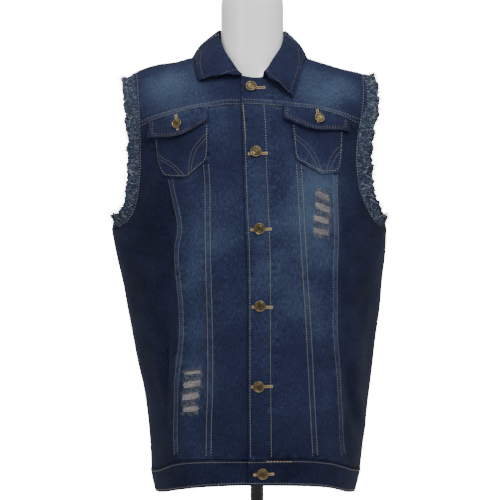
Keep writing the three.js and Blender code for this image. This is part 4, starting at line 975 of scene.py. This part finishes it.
def thread_piece(name, placed, material):
    """Many stitches in one piece, each given as middle, direction, outward, length and radius."""
    spots = []
    faces = []
    for order, (middle, travel, outward, length, radius) in enumerate(placed):
        across = outward.cross(travel).normalized()
        turn = np.array([travel * length, across * radius, outward * radius]) / 1000
        spots.append(STITCH_SPOTS @ turn + np.array(middle))
        faces.append(STITCH_FACES + order * len(STITCH_SPOTS))
    piece = from_arrays(name, np.concatenate(spots), np.concatenate(faces).tolist(), material)
    return belong(piece)


def thread(name, color):
    material, tree = new_material(name)
    dark = (*(channel * 0.45 for channel in color[:3]), 1.0)
    inputs = {"Vector": object_place(tree), "Scale": 900.0}
    twist = add_node(tree, "ShaderNodeTexWave", inputs, bands_direction="DIAGONAL")
    look = {
        "Base Color": blend(tree, grain(tree, 120.0, 3.0), dark, color),
        "Normal": relief(tree, twist.outputs["Fac"], 0.4, 0.0003),
        "Roughness": 0.6,
        "Sheen Weight": 0.1,
    }
    return finish_material(material, look)


def squared(way, outward):
    """A direction made square to another."""
    return (way - outward * way.dot(outward)).normalized()


def stitched(
    points, side, aside=0.0, radius=STITCH_RADIUS, pitch=STITCH_PITCH, length=STITCH_LENGTH
):
    """The stitches of one row along a line, or beside it by some mm over the cloth's own slope."""
    row = []
    for spot, outward, travel in followed(points, side, pitch, LAP_STRADDLE if aside else 0.0):
        travel = squared(travel, outward)
        if aside:
            start = spot + (travel.cross(outward) * aside + outward * NEEDLE_REACH) / 1000
            spot, normal, _, _ = cloth.ray_cast(start, -outward)
            if spot is None:
                continue
            outward = normal if normal.dot(outward) > 0 else -normal
            travel = squared(travel, outward)
        middle = spot + outward * (radius * STITCH_STANDS / 1000)
        row.append((middle, travel, outward, length, radius))
    return row


def band_rows():
    """Rows round the waistband, inside its top and bottom edges."""
    tree = cloth_tree([shells["waistband"]])
    slices, tops, lows = band_edges()
    placed = []
    for heights, shift in ((tops, -BAND_ROWS_INSIDE), (lows, BAND_ROWS_INSIDE)):
        found = []
        for step in range(BAND_STITCHES):
            degrees = -180 + step * 360 / BAND_STITCHES
            turn = math.radians(degrees)
            toward = Vector((math.sin(turn), -math.cos(turn), 0))
            z = float(np.interp(degrees, slices, heights)) + shift / 1000
            start = BAND_MIDDLE + Vector((0, 0, z)) + toward
            spot, normal, _, _ = tree.ray_cast(start, -toward)
            if spot is not None:
                found.append((spot, normal if normal.dot(toward) > 0 else -normal))
        for k, (spot, outward) in enumerate(found):
            travel = squared(found[(k + 1) % len(found)][0] - found[k - 1][0], outward)
            middle = spot + outward * BAND_STITCH_LIFT / 1000
            placed.append((middle, travel, outward, STITCH_LENGTH, STITCH_RADIUS))
    return placed


def sewn(groups, **size):
    """The stitches along groups of lines, with each group's side and its rows' ways aside."""
    return [
        stitch
        for lines, side, asides in groups
        for line in lines
        for aside in asides
        for stitch in stitched(line, side, aside, **size)
    ]


HEAVY_ROWS = [
    ((INNER_SEAM_RIGHT, INNER_SEAM_LEFT), "front", SEAM_ROWS),
    ((PLACKET_EDGE, PLACKET_SECOND, POCKET_EDGE_RIGHT, POCKET_EDGE_LEFT), "front", ONE_ROW),
    ((ARMHOLE_FRONT_RIGHT, ARMHOLE_FRONT_LEFT), "front", ONE_ROW),
    ((ARMHOLE_BACK_RIGHT, ARMHOLE_BACK_LEFT), "back", ONE_ROW),
    ((BACK_YOKE_SEAM, BACK_SEAM_RIGHT, BACK_SEAM_LEFT), "back", SEAM_ROWS),
    ((SHOULDER_SEAM_RIGHT, SHOULDER_SEAM_LEFT), "top", NARROW_SEAM_ROWS),
]
heavy = sewn(HEAVY_ROWS) + band_rows()
thread_piece("topstitching", heavy, thread("thread_gold", THREAD_COLOR))

flap_edges = [
    beside(line, shift) for line in (FLAP_EDGE_RIGHT, FLAP_EDGE_LEFT) for shift in FLAP_ROWS
]
YOKE_SEAMS = (YOKE_SEAM_RIGHT, YOKE_SEAM_LEFT, YOKE_SEAM_PLACKET)
FINE_ROWS = [
    ((OUTER_SEAM_RIGHT, OUTER_SEAM_LEFT), "front", NARROW_SEAM_ROWS),
    (flap_edges, "front", ONE_ROW),
]
COLLAR_ROWS = [((COLLAR_EDGE_RIGHT, COLLAR_EDGE_LEFT), "front", ONE_ROW)]
fine = sewn([(YOKE_SEAMS, "front", YOKE_ROWS)]) + sewn(FINE_ROWS, radius=FINE_RADIUS)
fine += sewn([(POCKET_ARCS, "front", ONE_ROW)], radius=FINE_RADIUS, pitch=ARC_PITCH)
fine += sewn(COLLAR_ROWS, radius=FINE_RADIUS)
thread_piece("fine_stitching", fine, thread("thread_gold_dull", DULL_THREAD_COLOR))

# Keyhole buttonholes: a slit bound with close stitches of bright thread, bar-tacked at its ends.
# Sizes in mm.
HOLE_PITCH = 0.85
HOLE_HALF_WIDTH = 1.25
BUTTONHOLES = table(
    "x1 z1 x2 z2",
    (-9.5, 866.5, 12, 867.5),
    (-13.8, 762, 15.5, 763),
    (-10, 644.6, 21.5, 646),
    (-8, 526.8, 23, 526.4),
    (-8.6, 404.8, 23, 405.8),
    (-5.5, 270.8, 25, 272),
    (-126.6, 824.5, -123.4, 800),
    (93.4, 832, 94.8, 812),
)
HOLE_STITCH = {"lift": 0.2, "long": 2.1, "radius": 0.5}
HOLE_BAR = {"lift": 0.3, "long": 4.4, "radius": 0.7}
# Where the same bright thread was used for a mended stretch, beside the placket and at the waist
BRIGHT_ROWS = [
    [(-22, 838), (-20.4, 818), (-18.9, 799), (-18.3, 786)],
    [(16, 291.5), (34, 291), (50, 290.5)],
]
BRIGHT_RADIUS = 0.75
BRIGHT_LENGTH = 3.2


def cross_stitch(flat, side, size):
    """One stitch laid across a buttonhole's edge, or none where there is no cloth."""
    hit = on_cloth(flat.x, flat.y, "front")
    if not hit:
        return []
    spot, outward = hit
    across = squared(Vector((side.x, 0, side.y)).normalized(), outward)
    return [(spot + outward * size["lift"] / 1000, across, outward, size["long"], size["radius"])]


def hole_binding(row):
    """Stitches square to a long narrow loop round the slit."""
    start = Vector((row["x1"], row["z1"]))
    end = Vector((row["x2"], row["z2"]))
    way = (end - start).normalized()
    side = Vector((-way.y, way.x)) * HOLE_HALF_WIDTH
    placed = []
    count = int((end - start).length / HOLE_PITCH)
    for sign in (-1, 1):
        for k in range(count + 1):
            placed += cross_stitch(start.lerp(end, k / count) + side * sign, side, HOLE_STITCH)
    for tip in (start, end):
        placed += cross_stitch(tip, side, HOLE_BAR)
    return placed


bound = [stitch for row in BUTTONHOLES for stitch in hole_binding(row)]
for line in BRIGHT_ROWS:
    bound += stitched(line, "front", radius=BRIGHT_RADIUS, length=BRIGHT_LENGTH)
thread_piece("buttonhole_stitches", bound, thread("thread_gold_bright", BRIGHT_THREAD_COLOR))

# Tack buttons: pressed antique brass caps with a rolled rim, a beaded ring and a plain dome. Each
# is riveted through the cloth under its buttonhole, and lies as its solid does.
BUTTONS = [
    "button_neck", "button_chest", "button_upper", "button_middle", "button_lower", "button_waist",
    "flap_button_right", "flap_button_left",
]
# The cap's profile and its beads, as shares of its radius
BUTTON_PROFILE = [
    (0.0, 0.0), (0.86, 0.0), (0.97, 0.05), (1.0, 0.13), (0.995, 0.2), (0.95, 0.27),
    (0.88, 0.285), (0.81, 0.25), (0.76, 0.18), (0.62, 0.18), (0.57, 0.23), (0.5, 0.245),
    (0.44, 0.21), (0.2, 0.23), (0.0, 0.235),
]
BUTTON_STEPS = 40
BEADS = 26
BEAD_RING = 0.69
BEAD_HEIGHT = 0.2
BEAD_RADIUS = 0.055
# Where the cap is darker: under it, in the ring of beads with patina, and on the dome's middle with
# a painted dark reflection
DARKER_UNDER_CAP = 0.5
PATINA_RING = {"middle": 0.68, "wide": 0.13, "most": 0.92}
PAINTED_DOME_REFLECTION = {"radius": 0.47, "most": 0.62}
TARNISHED_BRASS = (0.035, 0.024, 0.01, 1)
RUBBED_BRASS = (0.34, 0.27, 0.15, 1)
PATINA_AND_REFLECTION_COLOR = (0.014, 0.01, 0.006, 1)


def antique_brass():
    material, tree = new_material("button_brass")
    tarnish = grain(tree, 260.0, 4.0)
    clean = blend(tree, tarnish, TARNISHED_BRASS, RUBBED_BRASS)
    look = {
        # Patina in the bead ring and a painted dark reflection on the dome's middle darken the brass
        "Base Color": blend(tree, painted(tree, "patina_and_painted_reflection"), clean, PATINA_AND_REFLECTION_COLOR),
        "Roughness": spread(tree, tarnish, 0.18, 0.42),
        "Normal": relief(tree, tarnish, 0.7, 0.0008),
        "Metallic": 1.0,
    }
    return finish_material(material, look)


def button_cap(node, material):
    """A spun cap set where the CAD button is, facing the same way."""
    corners = np.array([vert.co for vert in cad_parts[node].data.vertices])
    middle = corners.mean(0)
    outward = Vector(np.linalg.svd(corners - middle)[2][2])
    if outward.y > 0:
        outward.negate()
    reach = (corners - middle) @ np.array(outward)
    radius = float(np.linalg.norm(np.cross(corners - middle, np.array(outward)), axis=1).max())
    foot = Vector(middle) + outward * float(reach.min())
    bm = spun([(a * radius, b * radius) for a, b in BUTTON_PROFILE], BUTTON_STEPS)
    # Darker under the cap, patina in the bead ring, and a painted dark reflection on the dome's
    # middle
    patina_and_painted_reflection = bm.verts.layers.float.new("patina_and_painted_reflection")
    for vert in bm.verts:
        part = math.hypot(vert.co.x, vert.co.y) / radius
        ring = math.exp(-(((part - PATINA_RING["middle"]) / PATINA_RING["wide"]) ** 2))
        dome = PAINTED_DOME_REFLECTION["most"] if part < PAINTED_DOME_REFLECTION["radius"] else 0.0
        vert[patina_and_painted_reflection] = DARKER_UNDER_CAP if vert.co.z <= 0 else max(PATINA_RING["most"] * ring, dome)
    for k in range(BEADS):
        angle = k * 2 * math.pi / BEADS
        bead = Vector((BEAD_RING * math.cos(angle), BEAD_RING * math.sin(angle), BEAD_HEIGHT))
        place = Matrix.Translation(bead * radius)
        bmesh.ops.create_icosphere(bm, subdivisions=1, radius=BEAD_RADIUS * radius, matrix=place)
    turn = outward.to_track_quat("Z", "Y").to_matrix().to_4x4()
    bmesh.ops.transform(bm, matrix=Matrix.Translation(foot) @ turn, verts=bm.verts)
    return belong(finish_piece(node + "_cap", bm, material), node)


brass = antique_brass()
for node in BUTTONS:
    button_cap(node, brass)

# Armhole frays: each cut edge has ravelled into a curled band of loose weft, and hundreds of thread
# ends stand off it. The band follows its solid's outer ring; sizes in mm.
FRAY_WIDTH = 17.0
FRAY_STATIONS = 300
ROOT_GAP = 0.0015
REST_GAP = ROOT_GAP * 5
SAME_PLACE = ROOT_GAP * 1.6
RING_SMOOTHINGS = 8
RING_NEIGHBOUR = 3
# The band's unevenness round the armhole: amount, and how often it changes
FRAY_WIDTHS = ((0.32, 5.0), (0.2, 17.0))
FRAY_CURLS = (0.7, 4.0)
CURL_SHIFT = Vector((7, 0, 0))
CURL_FROM = 0.3
RING_SEED = 3.0
# Its lumps and finer fuzz: change along and across the band, rise, reach, share in the shade
LUMP = {"along": 0.55, "across": 0.8, "seed": 9.0, "rise": 0.9, "reach": 0.0, "shade": 0.25}
FUZZ = {"along": 1.3, "across": 1.9, "seed": 5.0, "rise": 0.6, "reach": 0.8, "shade": 0.25}
BAND_SHADE = 0.42
# The band's section: share of its width, and height over the cloth's outer face
FRAY_SECTION = [
    (-0.2, 0.5), (-0.12, 1.3), (0.05, 1.5), (0.25, 1.7), (0.45, 2.2), (0.65, 3.0), (0.85, 4.4),
    (1.0, 6.0), (1.04, 5.0), (0.9, 2.6), (0.7, 1.0), (0.5, 0.1), (0.25, -0.6), (0.0, -0.8),
]
FRAY_COLORS = [
    (0.0, (0.007, 0.010, 0.021, 1.0)),
    (0.4, (0.021, 0.029, 0.052, 1.0)),
    (0.7, (0.085, 0.108, 0.15, 1.0)),
    (1.0, (0.5, 0.5, 0.51, 1.0)),
]
# The thread ends: a range has two ends, and a spread its middle and its width
FRAY_THREADS = 1700
ROOT_SHARES = (-0.2, 0.45, 1.0)
ROOT_RISES = (1.2, 2.2, 6.0)
ROOT_DEPTH = 0.5
FRAY_SPREAD_ALL = (-0.1, 1.0)
FRAY_SPREAD_TIP = (0.75, 1.0)
FRAY_SHARE_ALL = 0.6
FRAY_SHARE_PALE = 0.11
FRAY_OUTWARD = (0.4, 1.0)
FRAY_LEAN = (0.0, 0.75)
FRAY_LIFT = (0.35, 0.45)
FRAY_BEND = (0.0, 0.5)
FRAY_CURL = 0.6
FRAY_LENGTH = (3.0, 8.0)
FRAY_PALE_LENGTH = (6.0, 12.0)
FRAY_RADIUS = (0.2, 0.42)
FRAY_SHADE = (0.5, 0.24)
FRAY_TIP = 0.5


def shaded_fibre(name, colors):
    """Raw cotton whose colour comes from each thread's own shade."""
    material, tree = new_material(name)
    tuft = grain(tree, 420.0, 4.0, 0.7)
    mixed = maths(tree, "ADD", painted(tree, "shade"), spread(tree, tuft, -0.3, 0.3, 0.3, 0.7))
    look = {
        "Base Color": run_of_colors(tree, mixed, colors),
        "Normal": relief(tree, tuft, 0.8, 0.0012),
        "Roughness": 0.9,
        "Specular IOR Level": 0.15,
    }
    return finish_material(material, look)


def unit_rows(values):
    return values / np.linalg.norm(values, axis=1, keepdims=True)


def armhole_ring(node):
    """Even places along a fray's root, with the ways along it, off the cloth and out of its face."""
    corners = np.array([vert.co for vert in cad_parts[node].data.vertices])
    spots = np.unique(corners.round(5), axis=0)
    gap = np.array([cloth.find_nearest(Vector(spot))[3] for spot in spots])
    root = spots[gap < ROOT_GAP]
    rest = spots[gap > REST_GAP]
    middle = (root.min(0) + root.max(0)) / 2
    turn = np.arctan2(root[:, 1] - middle[1], root[:, 2] - middle[2])
    ring = []
    for spot in root[np.argsort(turn)]:
        if ring and np.linalg.norm(spot - ring[-1][-1]) < SAME_PLACE:
            ring[-1].append(spot)
        else:
            ring.append([spot])
    ring = np.array([np.mean(near, axis=0) for near in ring])
    reach = np.linalg.norm(rest[None, :, :] - ring[:, None, :], axis=2)
    away = rest[reach.argmin(axis=1)] - ring
    closed = np.vstack([ring, ring[:1]])
    far = np.concatenate([[0.0], np.cumsum(np.linalg.norm(np.diff(closed, axis=0), axis=1))])
    want = np.linspace(0, far[-1], FRAY_STATIONS, endpoint=False)

    def spaced(values):
        values = np.vstack([values, values[:1]])
        values = np.column_stack([np.interp(want, far, values[:, axis]) for axis in range(3)])
        for _ in range(RING_SMOOTHINGS):
            values = (np.roll(values, 1, 0) + values + np.roll(values, -1, 0)) / 3
        return values

    ring = spaced(ring)
    along_ring = unit_rows(np.roll(ring, -RING_NEIGHBOUR, 0) - np.roll(ring, RING_NEIGHBOUR, 0))
    away = spaced(away)
    away = unit_rows(away - along_ring * (away * along_ring).sum(1, keepdims=True))
    out = np.cross(along_ring, away)
    inward = middle - ring
    inward[:, 0] = 0.0
    out *= -np.sign((out * inward).sum(1, keepdims=True))
    return ring, along_ring, away, out


def strands(name, threads, material, sides=3):
    """Many thin closed threads in one mesh. Each has its points, radius, shade and tip's share."""
    spots = []
    faces = []
    shades = []
    first = 0
    turns = np.arange(sides) * 2 * math.pi / sides
    for points, radius, shade, tip in threads:
        count = len(points)
        travel = unit_rows(np.gradient(points, axis=0))
        aside = unit_rows(np.cross(travel, np.array([0.31, 0.62, 0.72])))
        up = np.cross(travel, aside)
        size = (radius * np.linspace(1.0, tip, count))[:, None]
        ring = [points + size * (math.cos(a) * aside + math.sin(a) * up) for a in turns]
        spots.append(np.stack(ring, axis=1).reshape(-1, 3))
        shades.extend([shade] * (count * sides))
        for start in range(first, first + (count - 1) * sides, sides):
            for a in range(sides):
                b = (a + 1) % sides
                faces.append([start + a, start + b, start + sides + b, start + sides + a])
        faces.append([first + corner for corner in reversed(range(sides))])
        faces.append([first + (count - 1) * sides + corner for corner in range(sides)])
        first += count * sides
    return from_arrays(name, np.concatenate(spots), faces, material, shades)


def swept(root, way, bend, length, count):
    """The points of a thread that bends away from its first direction."""
    part = np.linspace(0.0, 1.0, count)[:, None]
    return root + way * part * length + bend * (part**2) * length


def fray_band(name, node, side, material):
    """The ravelled band of one armhole, its ring of places and how wide and curled it is there."""
    ring, along_ring, away, out = armhole_ring(node)
    count = len(ring)
    width = np.zeros(count)
    curl = np.zeros(count)
    for k in range(count):
        turn = 2 * math.pi * k / count
        circle = Vector((math.cos(turn), math.sin(turn), side * RING_SEED))
        width[k] = 1.0 + sum(amount * noise.noise(circle * often) for amount, often in FRAY_WIDTHS)
        curl[k] = 1.0 + FRAY_CURLS[0] * noise.noise(circle * FRAY_CURLS[1] + CURL_SHIFT)
    spots = []
    shades = []
    for k in range(count):
        for order, (share, rise) in enumerate(FRAY_SECTION):
            reach = share * FRAY_WIDTH * (width[k] if share > 0 else 1.0)
            lift = rise * (curl[k] if share > CURL_FROM else 1.0)
            shade = BAND_SHADE
            for kind in (LUMP, FUZZ):
                here = Vector((k * kind["along"], order * kind["across"], side * kind["seed"]))
                amount = noise.noise(here)
                reach += kind["reach"] * amount
                lift += kind["rise"] * amount
                shade += kind["shade"] * amount
            spots.append(ring[k] + (away[k] * reach + out[k] * lift) / 1000)
            shades.append(shade)
    across = len(FRAY_SECTION)
    faces = []
    for k in range(count):
        here = k * across
        ahead = (k + 1) % count * across
        for a in range(across):
            b = (a + 1) % across
            faces.append([here + a, here + b, ahead + b, ahead + a])
    band = from_arrays(name, spots, faces, material, shades)
    bm = bmesh.new()
    bm.from_mesh(band.data)
    bmesh.ops.recalc_face_normals(bm, faces=bm.faces)
    bm.to_mesh(band.data)
    bm.free()
    return band, (ring, along_ring, away, out, width, curl)


def fray_threads(stations, rng):
    """The loose ends of one armhole: points, radius, shade and tip's share of each."""
    ring, along_ring, away, out, width, curl = stations
    threads = []
    for _ in range(FRAY_THREADS):
        k = int(rng.integers(len(ring)))
        where = FRAY_SPREAD_ALL if rng.random() < FRAY_SHARE_ALL else FRAY_SPREAD_TIP
        share = rng.uniform(*where)
        rise = np.interp(share, ROOT_SHARES, ROOT_RISES) * (curl[k] if share > CURL_FROM else 1.0)
        root = away[k] * share * FRAY_WIDTH * width[k] + out[k] * (rise - ROOT_DEPTH)
        lean = rng.normal(*FRAY_LEAN)
        lift = rng.normal(*FRAY_LIFT)
        way = away[k] * rng.uniform(*FRAY_OUTWARD) + along_ring[k] * lean + out[k] * lift
        way /= np.linalg.norm(way)
        bend = rng.normal(*FRAY_BEND, 3) * FRAY_CURL
        pale_one = rng.random() < FRAY_SHARE_PALE
        length = rng.uniform(*(FRAY_PALE_LENGTH if pale_one else FRAY_LENGTH)) / 1000
        shade = 1.0 if pale_one else float(np.clip(rng.normal(*FRAY_SHADE), 0.1, 1.0))
        points = swept(ring[k] + root / 1000, way, bend, length, 5)
        threads.append((points, rng.uniform(*FRAY_RADIUS) / 1000, shade, FRAY_TIP))
    return threads


fibre = shaded_fibre("denim_frayed", FRAY_COLORS)
for side_name, side in (("right", -1), ("left", 1)):
    node = "armhole_fray_" + side_name
    band, stations = fray_band(node + "_band", node, side, fibre)
    threads = fray_threads(stations, np.random.default_rng(11 + side))
    ends = strands(node + "_threads", threads, fibre)
    [belong(piece, node) for piece in (band, ends)]

# Rips: where the blue warp has worn away, the undyed weft crosses each slit as a pale bar, and
# broken warp ends stand round it. Places on the front in mm.
RIPS = table(
    "x z long high rise wefts",
    (-99, 426, 28, 4.5, 4.5, 7),
    (-100, 408.5, 29, 9.0, 6.0, 15),
    (-103, 389.5, 28, 8.5, 5.5, 14),
    (-103, 370, 25, 8.0, 3.0, 9),
    (101, 697.5, 22, 8.5, -9, 12),
    (101, 679, 25, 9.0, -9, 15),
    (99, 660.5, 26, 8.5, -8, 14),
    (98, 642, 26, 7.5, -6, 9),
)
RIP_CLEAR = 5.5
WEFT_POINTS = 11
WEFT_OVERHANG = (0.0, 0.05)
WEFT_SAG = (0.0, 0.35)
WEFT_SAG_SHARE = 0.07
WEFT_WAVE = {"amount": 0.05, "often": 9.0, "shift": 1.7}
WEFT_DEPTH = {"ends": 0.75, "rise": 1.25, "uneven": 0.1}
WEFT_SHADE = (0.82, 0.12)
WEFT_RADIUS = (0.34, 0.46)
SHREDS = 230
SHRED_ALONG = (-0.52, 0.52)
SHRED_OFF_EDGE = (0.12, 0.32)
SHRED_ACROSS = (0.0, 0.45)
SHRED_OUTWARD = (0.12, 0.1)
SHRED_LIFT = 0.1
SHRED_BEND = (0.0, 0.35)
SHRED_BEND_SHARES = np.array([1.0, 0.3, 0.4])
SHRED_LENGTH = (1.6, 4.6)
SHRED_SHADE = (0.46, 0.24)
SHRED_RADIUS = (0.18, 0.33)
SHRED_TIP = 0.6
RIP_COLORS = [
    (0.0, (0.02, 0.03, 0.055, 1.0)),
    (0.35, (0.075, 0.1, 0.14, 1.0)),
    (0.65, (0.21, 0.2, 0.21, 1.0)),
    (1.0, (0.42, 0.37, 0.355, 1.0)),
]


def over_rip(row, along_part, across_part, depth):
    """A place over a slit, from its ends and edges in shares, a depth under the cloth's face."""
    x = row["x"] + along_part * row["long"]
    z = row["z"] + along_part * row["rise"]
    above = on_cloth(x, z + RIP_CLEAR, "front")
    below = on_cloth(x, z - RIP_CLEAR, "front")
    z += across_part * row["high"]
    share = (z - row["z"] - along_part * row["rise"] + RIP_CLEAR) / (2 * RIP_CLEAR)
    face = below[0].lerp(above[0], share)
    out = (above[1] + below[1]).normalized()
    return np.array(Vector((x / 1000, face.y, z / 1000)) - out * depth / 1000)


def rip_threads(row, rng):
    threads = []
    for k in range(row["wefts"]):
        across_part = (k + 0.5) / row["wefts"] - 0.5
        sag = rng.normal(*WEFT_SAG)
        start = -0.5 - rng.uniform(*WEFT_OVERHANG)
        stop = 0.5 + rng.uniform(*WEFT_OVERHANG)
        points = []
        for part in np.linspace(0.0, 1.0, WEFT_POINTS):
            bulge = math.sin(math.pi * part)
            wave = math.sin(part * WEFT_WAVE["often"] + k * WEFT_WAVE["shift"])
            aside = WEFT_WAVE["amount"] * wave + sag * WEFT_SAG_SHARE * bulge
            depth = WEFT_DEPTH["ends"] - WEFT_DEPTH["rise"] * bulge**0.5
            depth += rng.normal(0.0, WEFT_DEPTH["uneven"])
            points.append(over_rip(row, start + (stop - start) * part, across_part + aside, depth))
        shade = float(np.clip(rng.normal(*WEFT_SHADE), 0.4, 1.0))
        threads.append((np.array(points), rng.uniform(*WEFT_RADIUS) / 1000, shade, 1.0))
    for _ in range(SHREDS):
        edge = rng.choice([-1.0, 1.0])
        along_part = rng.uniform(*SHRED_ALONG)
        across_part = edge * (0.5 + abs(rng.normal(*SHRED_OFF_EDGE)))
        root = over_rip(row, along_part, across_part, -SHRED_LIFT)
        outward = [rng.normal(*SHRED_ACROSS), -abs(rng.normal(*SHRED_OUTWARD)), rng.choice([-1, 1])]
        way = np.array(outward) / np.linalg.norm(outward)
        bend = rng.normal(*SHRED_BEND, 3) * SHRED_BEND_SHARES
        points = swept(root, way, bend, rng.uniform(*SHRED_LENGTH) / 1000, 4)
        shade = float(np.clip(rng.normal(*SHRED_SHADE), 0.05, 1.0))
        threads.append((points, rng.uniform(*SHRED_RADIUS) / 1000, shade, SHRED_TIP))
    return threads


rip_rng = np.random.default_rng(23)
rip_pile = [strand for row in RIPS for strand in rip_threads(row, rip_rng)]
rip_piece = strands("rip_threads", rip_pile, shaded_fibre("thread_white", RIP_COLORS))
belong(rip_piece)

# Studio: a round pale floor, four soft lights and a white sky, which the camera sees brighter than
# it shines. The camera stands level before the vest, far enough to see it almost flat.
STAGE_COLOR = (0.9, 0.9, 0.9, 1.0)
STAGE_ROUGHNESS = 0.9
FLOOR_RADIUS = 1.45
FLOOR_UNDER = 0.0005
SKY_LIGHT = 0.56
SKY_SEEN = 16.0
SOFTBOXES = table(
    "name place aim size watts",
    ("key", (1.1, -2.1, 2.9), (0.0, 0.0, 0.7), (1.1, 1.1), 66),
    ("fill", (-1.9, -2.2, 1.4), (0.0, 0.0, 0.6), (1.4, 1.4), 20),
    ("top", (0.0, -0.3, 2.6), (0.0, 0.0, 0.6), (1.6, 1.2), 20),
    ("back", (-0.7, 2.6, 1.7), (0.0, 0.1, 0.6), (1.4, 1.4), 34),
)
CAMERA_PLACE = (-0.0112, -3.2, 0.614)
CAMERA_LENS = 144.0
CAMERA_SENSOR = 36.0

stage_material, _ = new_material("stage")
finish_material(stage_material, {"Base Color": STAGE_COLOR, "Roughness": STAGE_ROUGHNESS})
bm = bmesh.new()
bmesh.ops.create_circle(bm, cap_ends=True, segments=96, radius=FLOOR_RADIUS)
bmesh.ops.translate(bm, verts=bm.verts, vec=(0, 0, -FLOOR_UNDER))
floor = finish_piece("floor", bm, stage_material, smooth=False)

world = bpy.context.scene.world or bpy.data.worlds.new("studio")
bpy.context.scene.world = world
world.use_nodes = True
seen = add_node(world.node_tree, "ShaderNodeLightPath", {}).outputs["Is Camera Ray"]
sky = {
    "Color": (1.0, 1.0, 1.0, 1.0),
    "Strength": spread(world.node_tree, seen, SKY_LIGHT, SKY_SEEN),
}
set_inputs(world.node_tree, world.node_tree.nodes["Background"], sky)


def softbox(name, place, aim, size, watts):
    lamp = bpy.data.lights.new(name, "AREA")
    lamp.shape = "RECTANGLE"
    lamp.size, lamp.size_y = size
    lamp.energy = watts
    light = bpy.data.objects.new(name, lamp)
    light.location = place
    light.rotation_euler = (Vector(aim) - Vector(place)).to_track_quat("-Z", "Y").to_euler()
    bpy.context.scene.collection.objects.link(light)


for row in SOFTBOXES:
    softbox(**row)

camera_data = bpy.data.cameras.new("camera")
camera_data.sensor_width = CAMERA_SENSOR
camera_data.lens = CAMERA_LENS
camera = bpy.data.objects.new("camera", camera_data)
camera.location = CAMERA_PLACE
camera.rotation_euler = (math.radians(90), 0, 0)
bpy.context.scene.collection.objects.link(camera)
bpy.context.scene.camera = camera
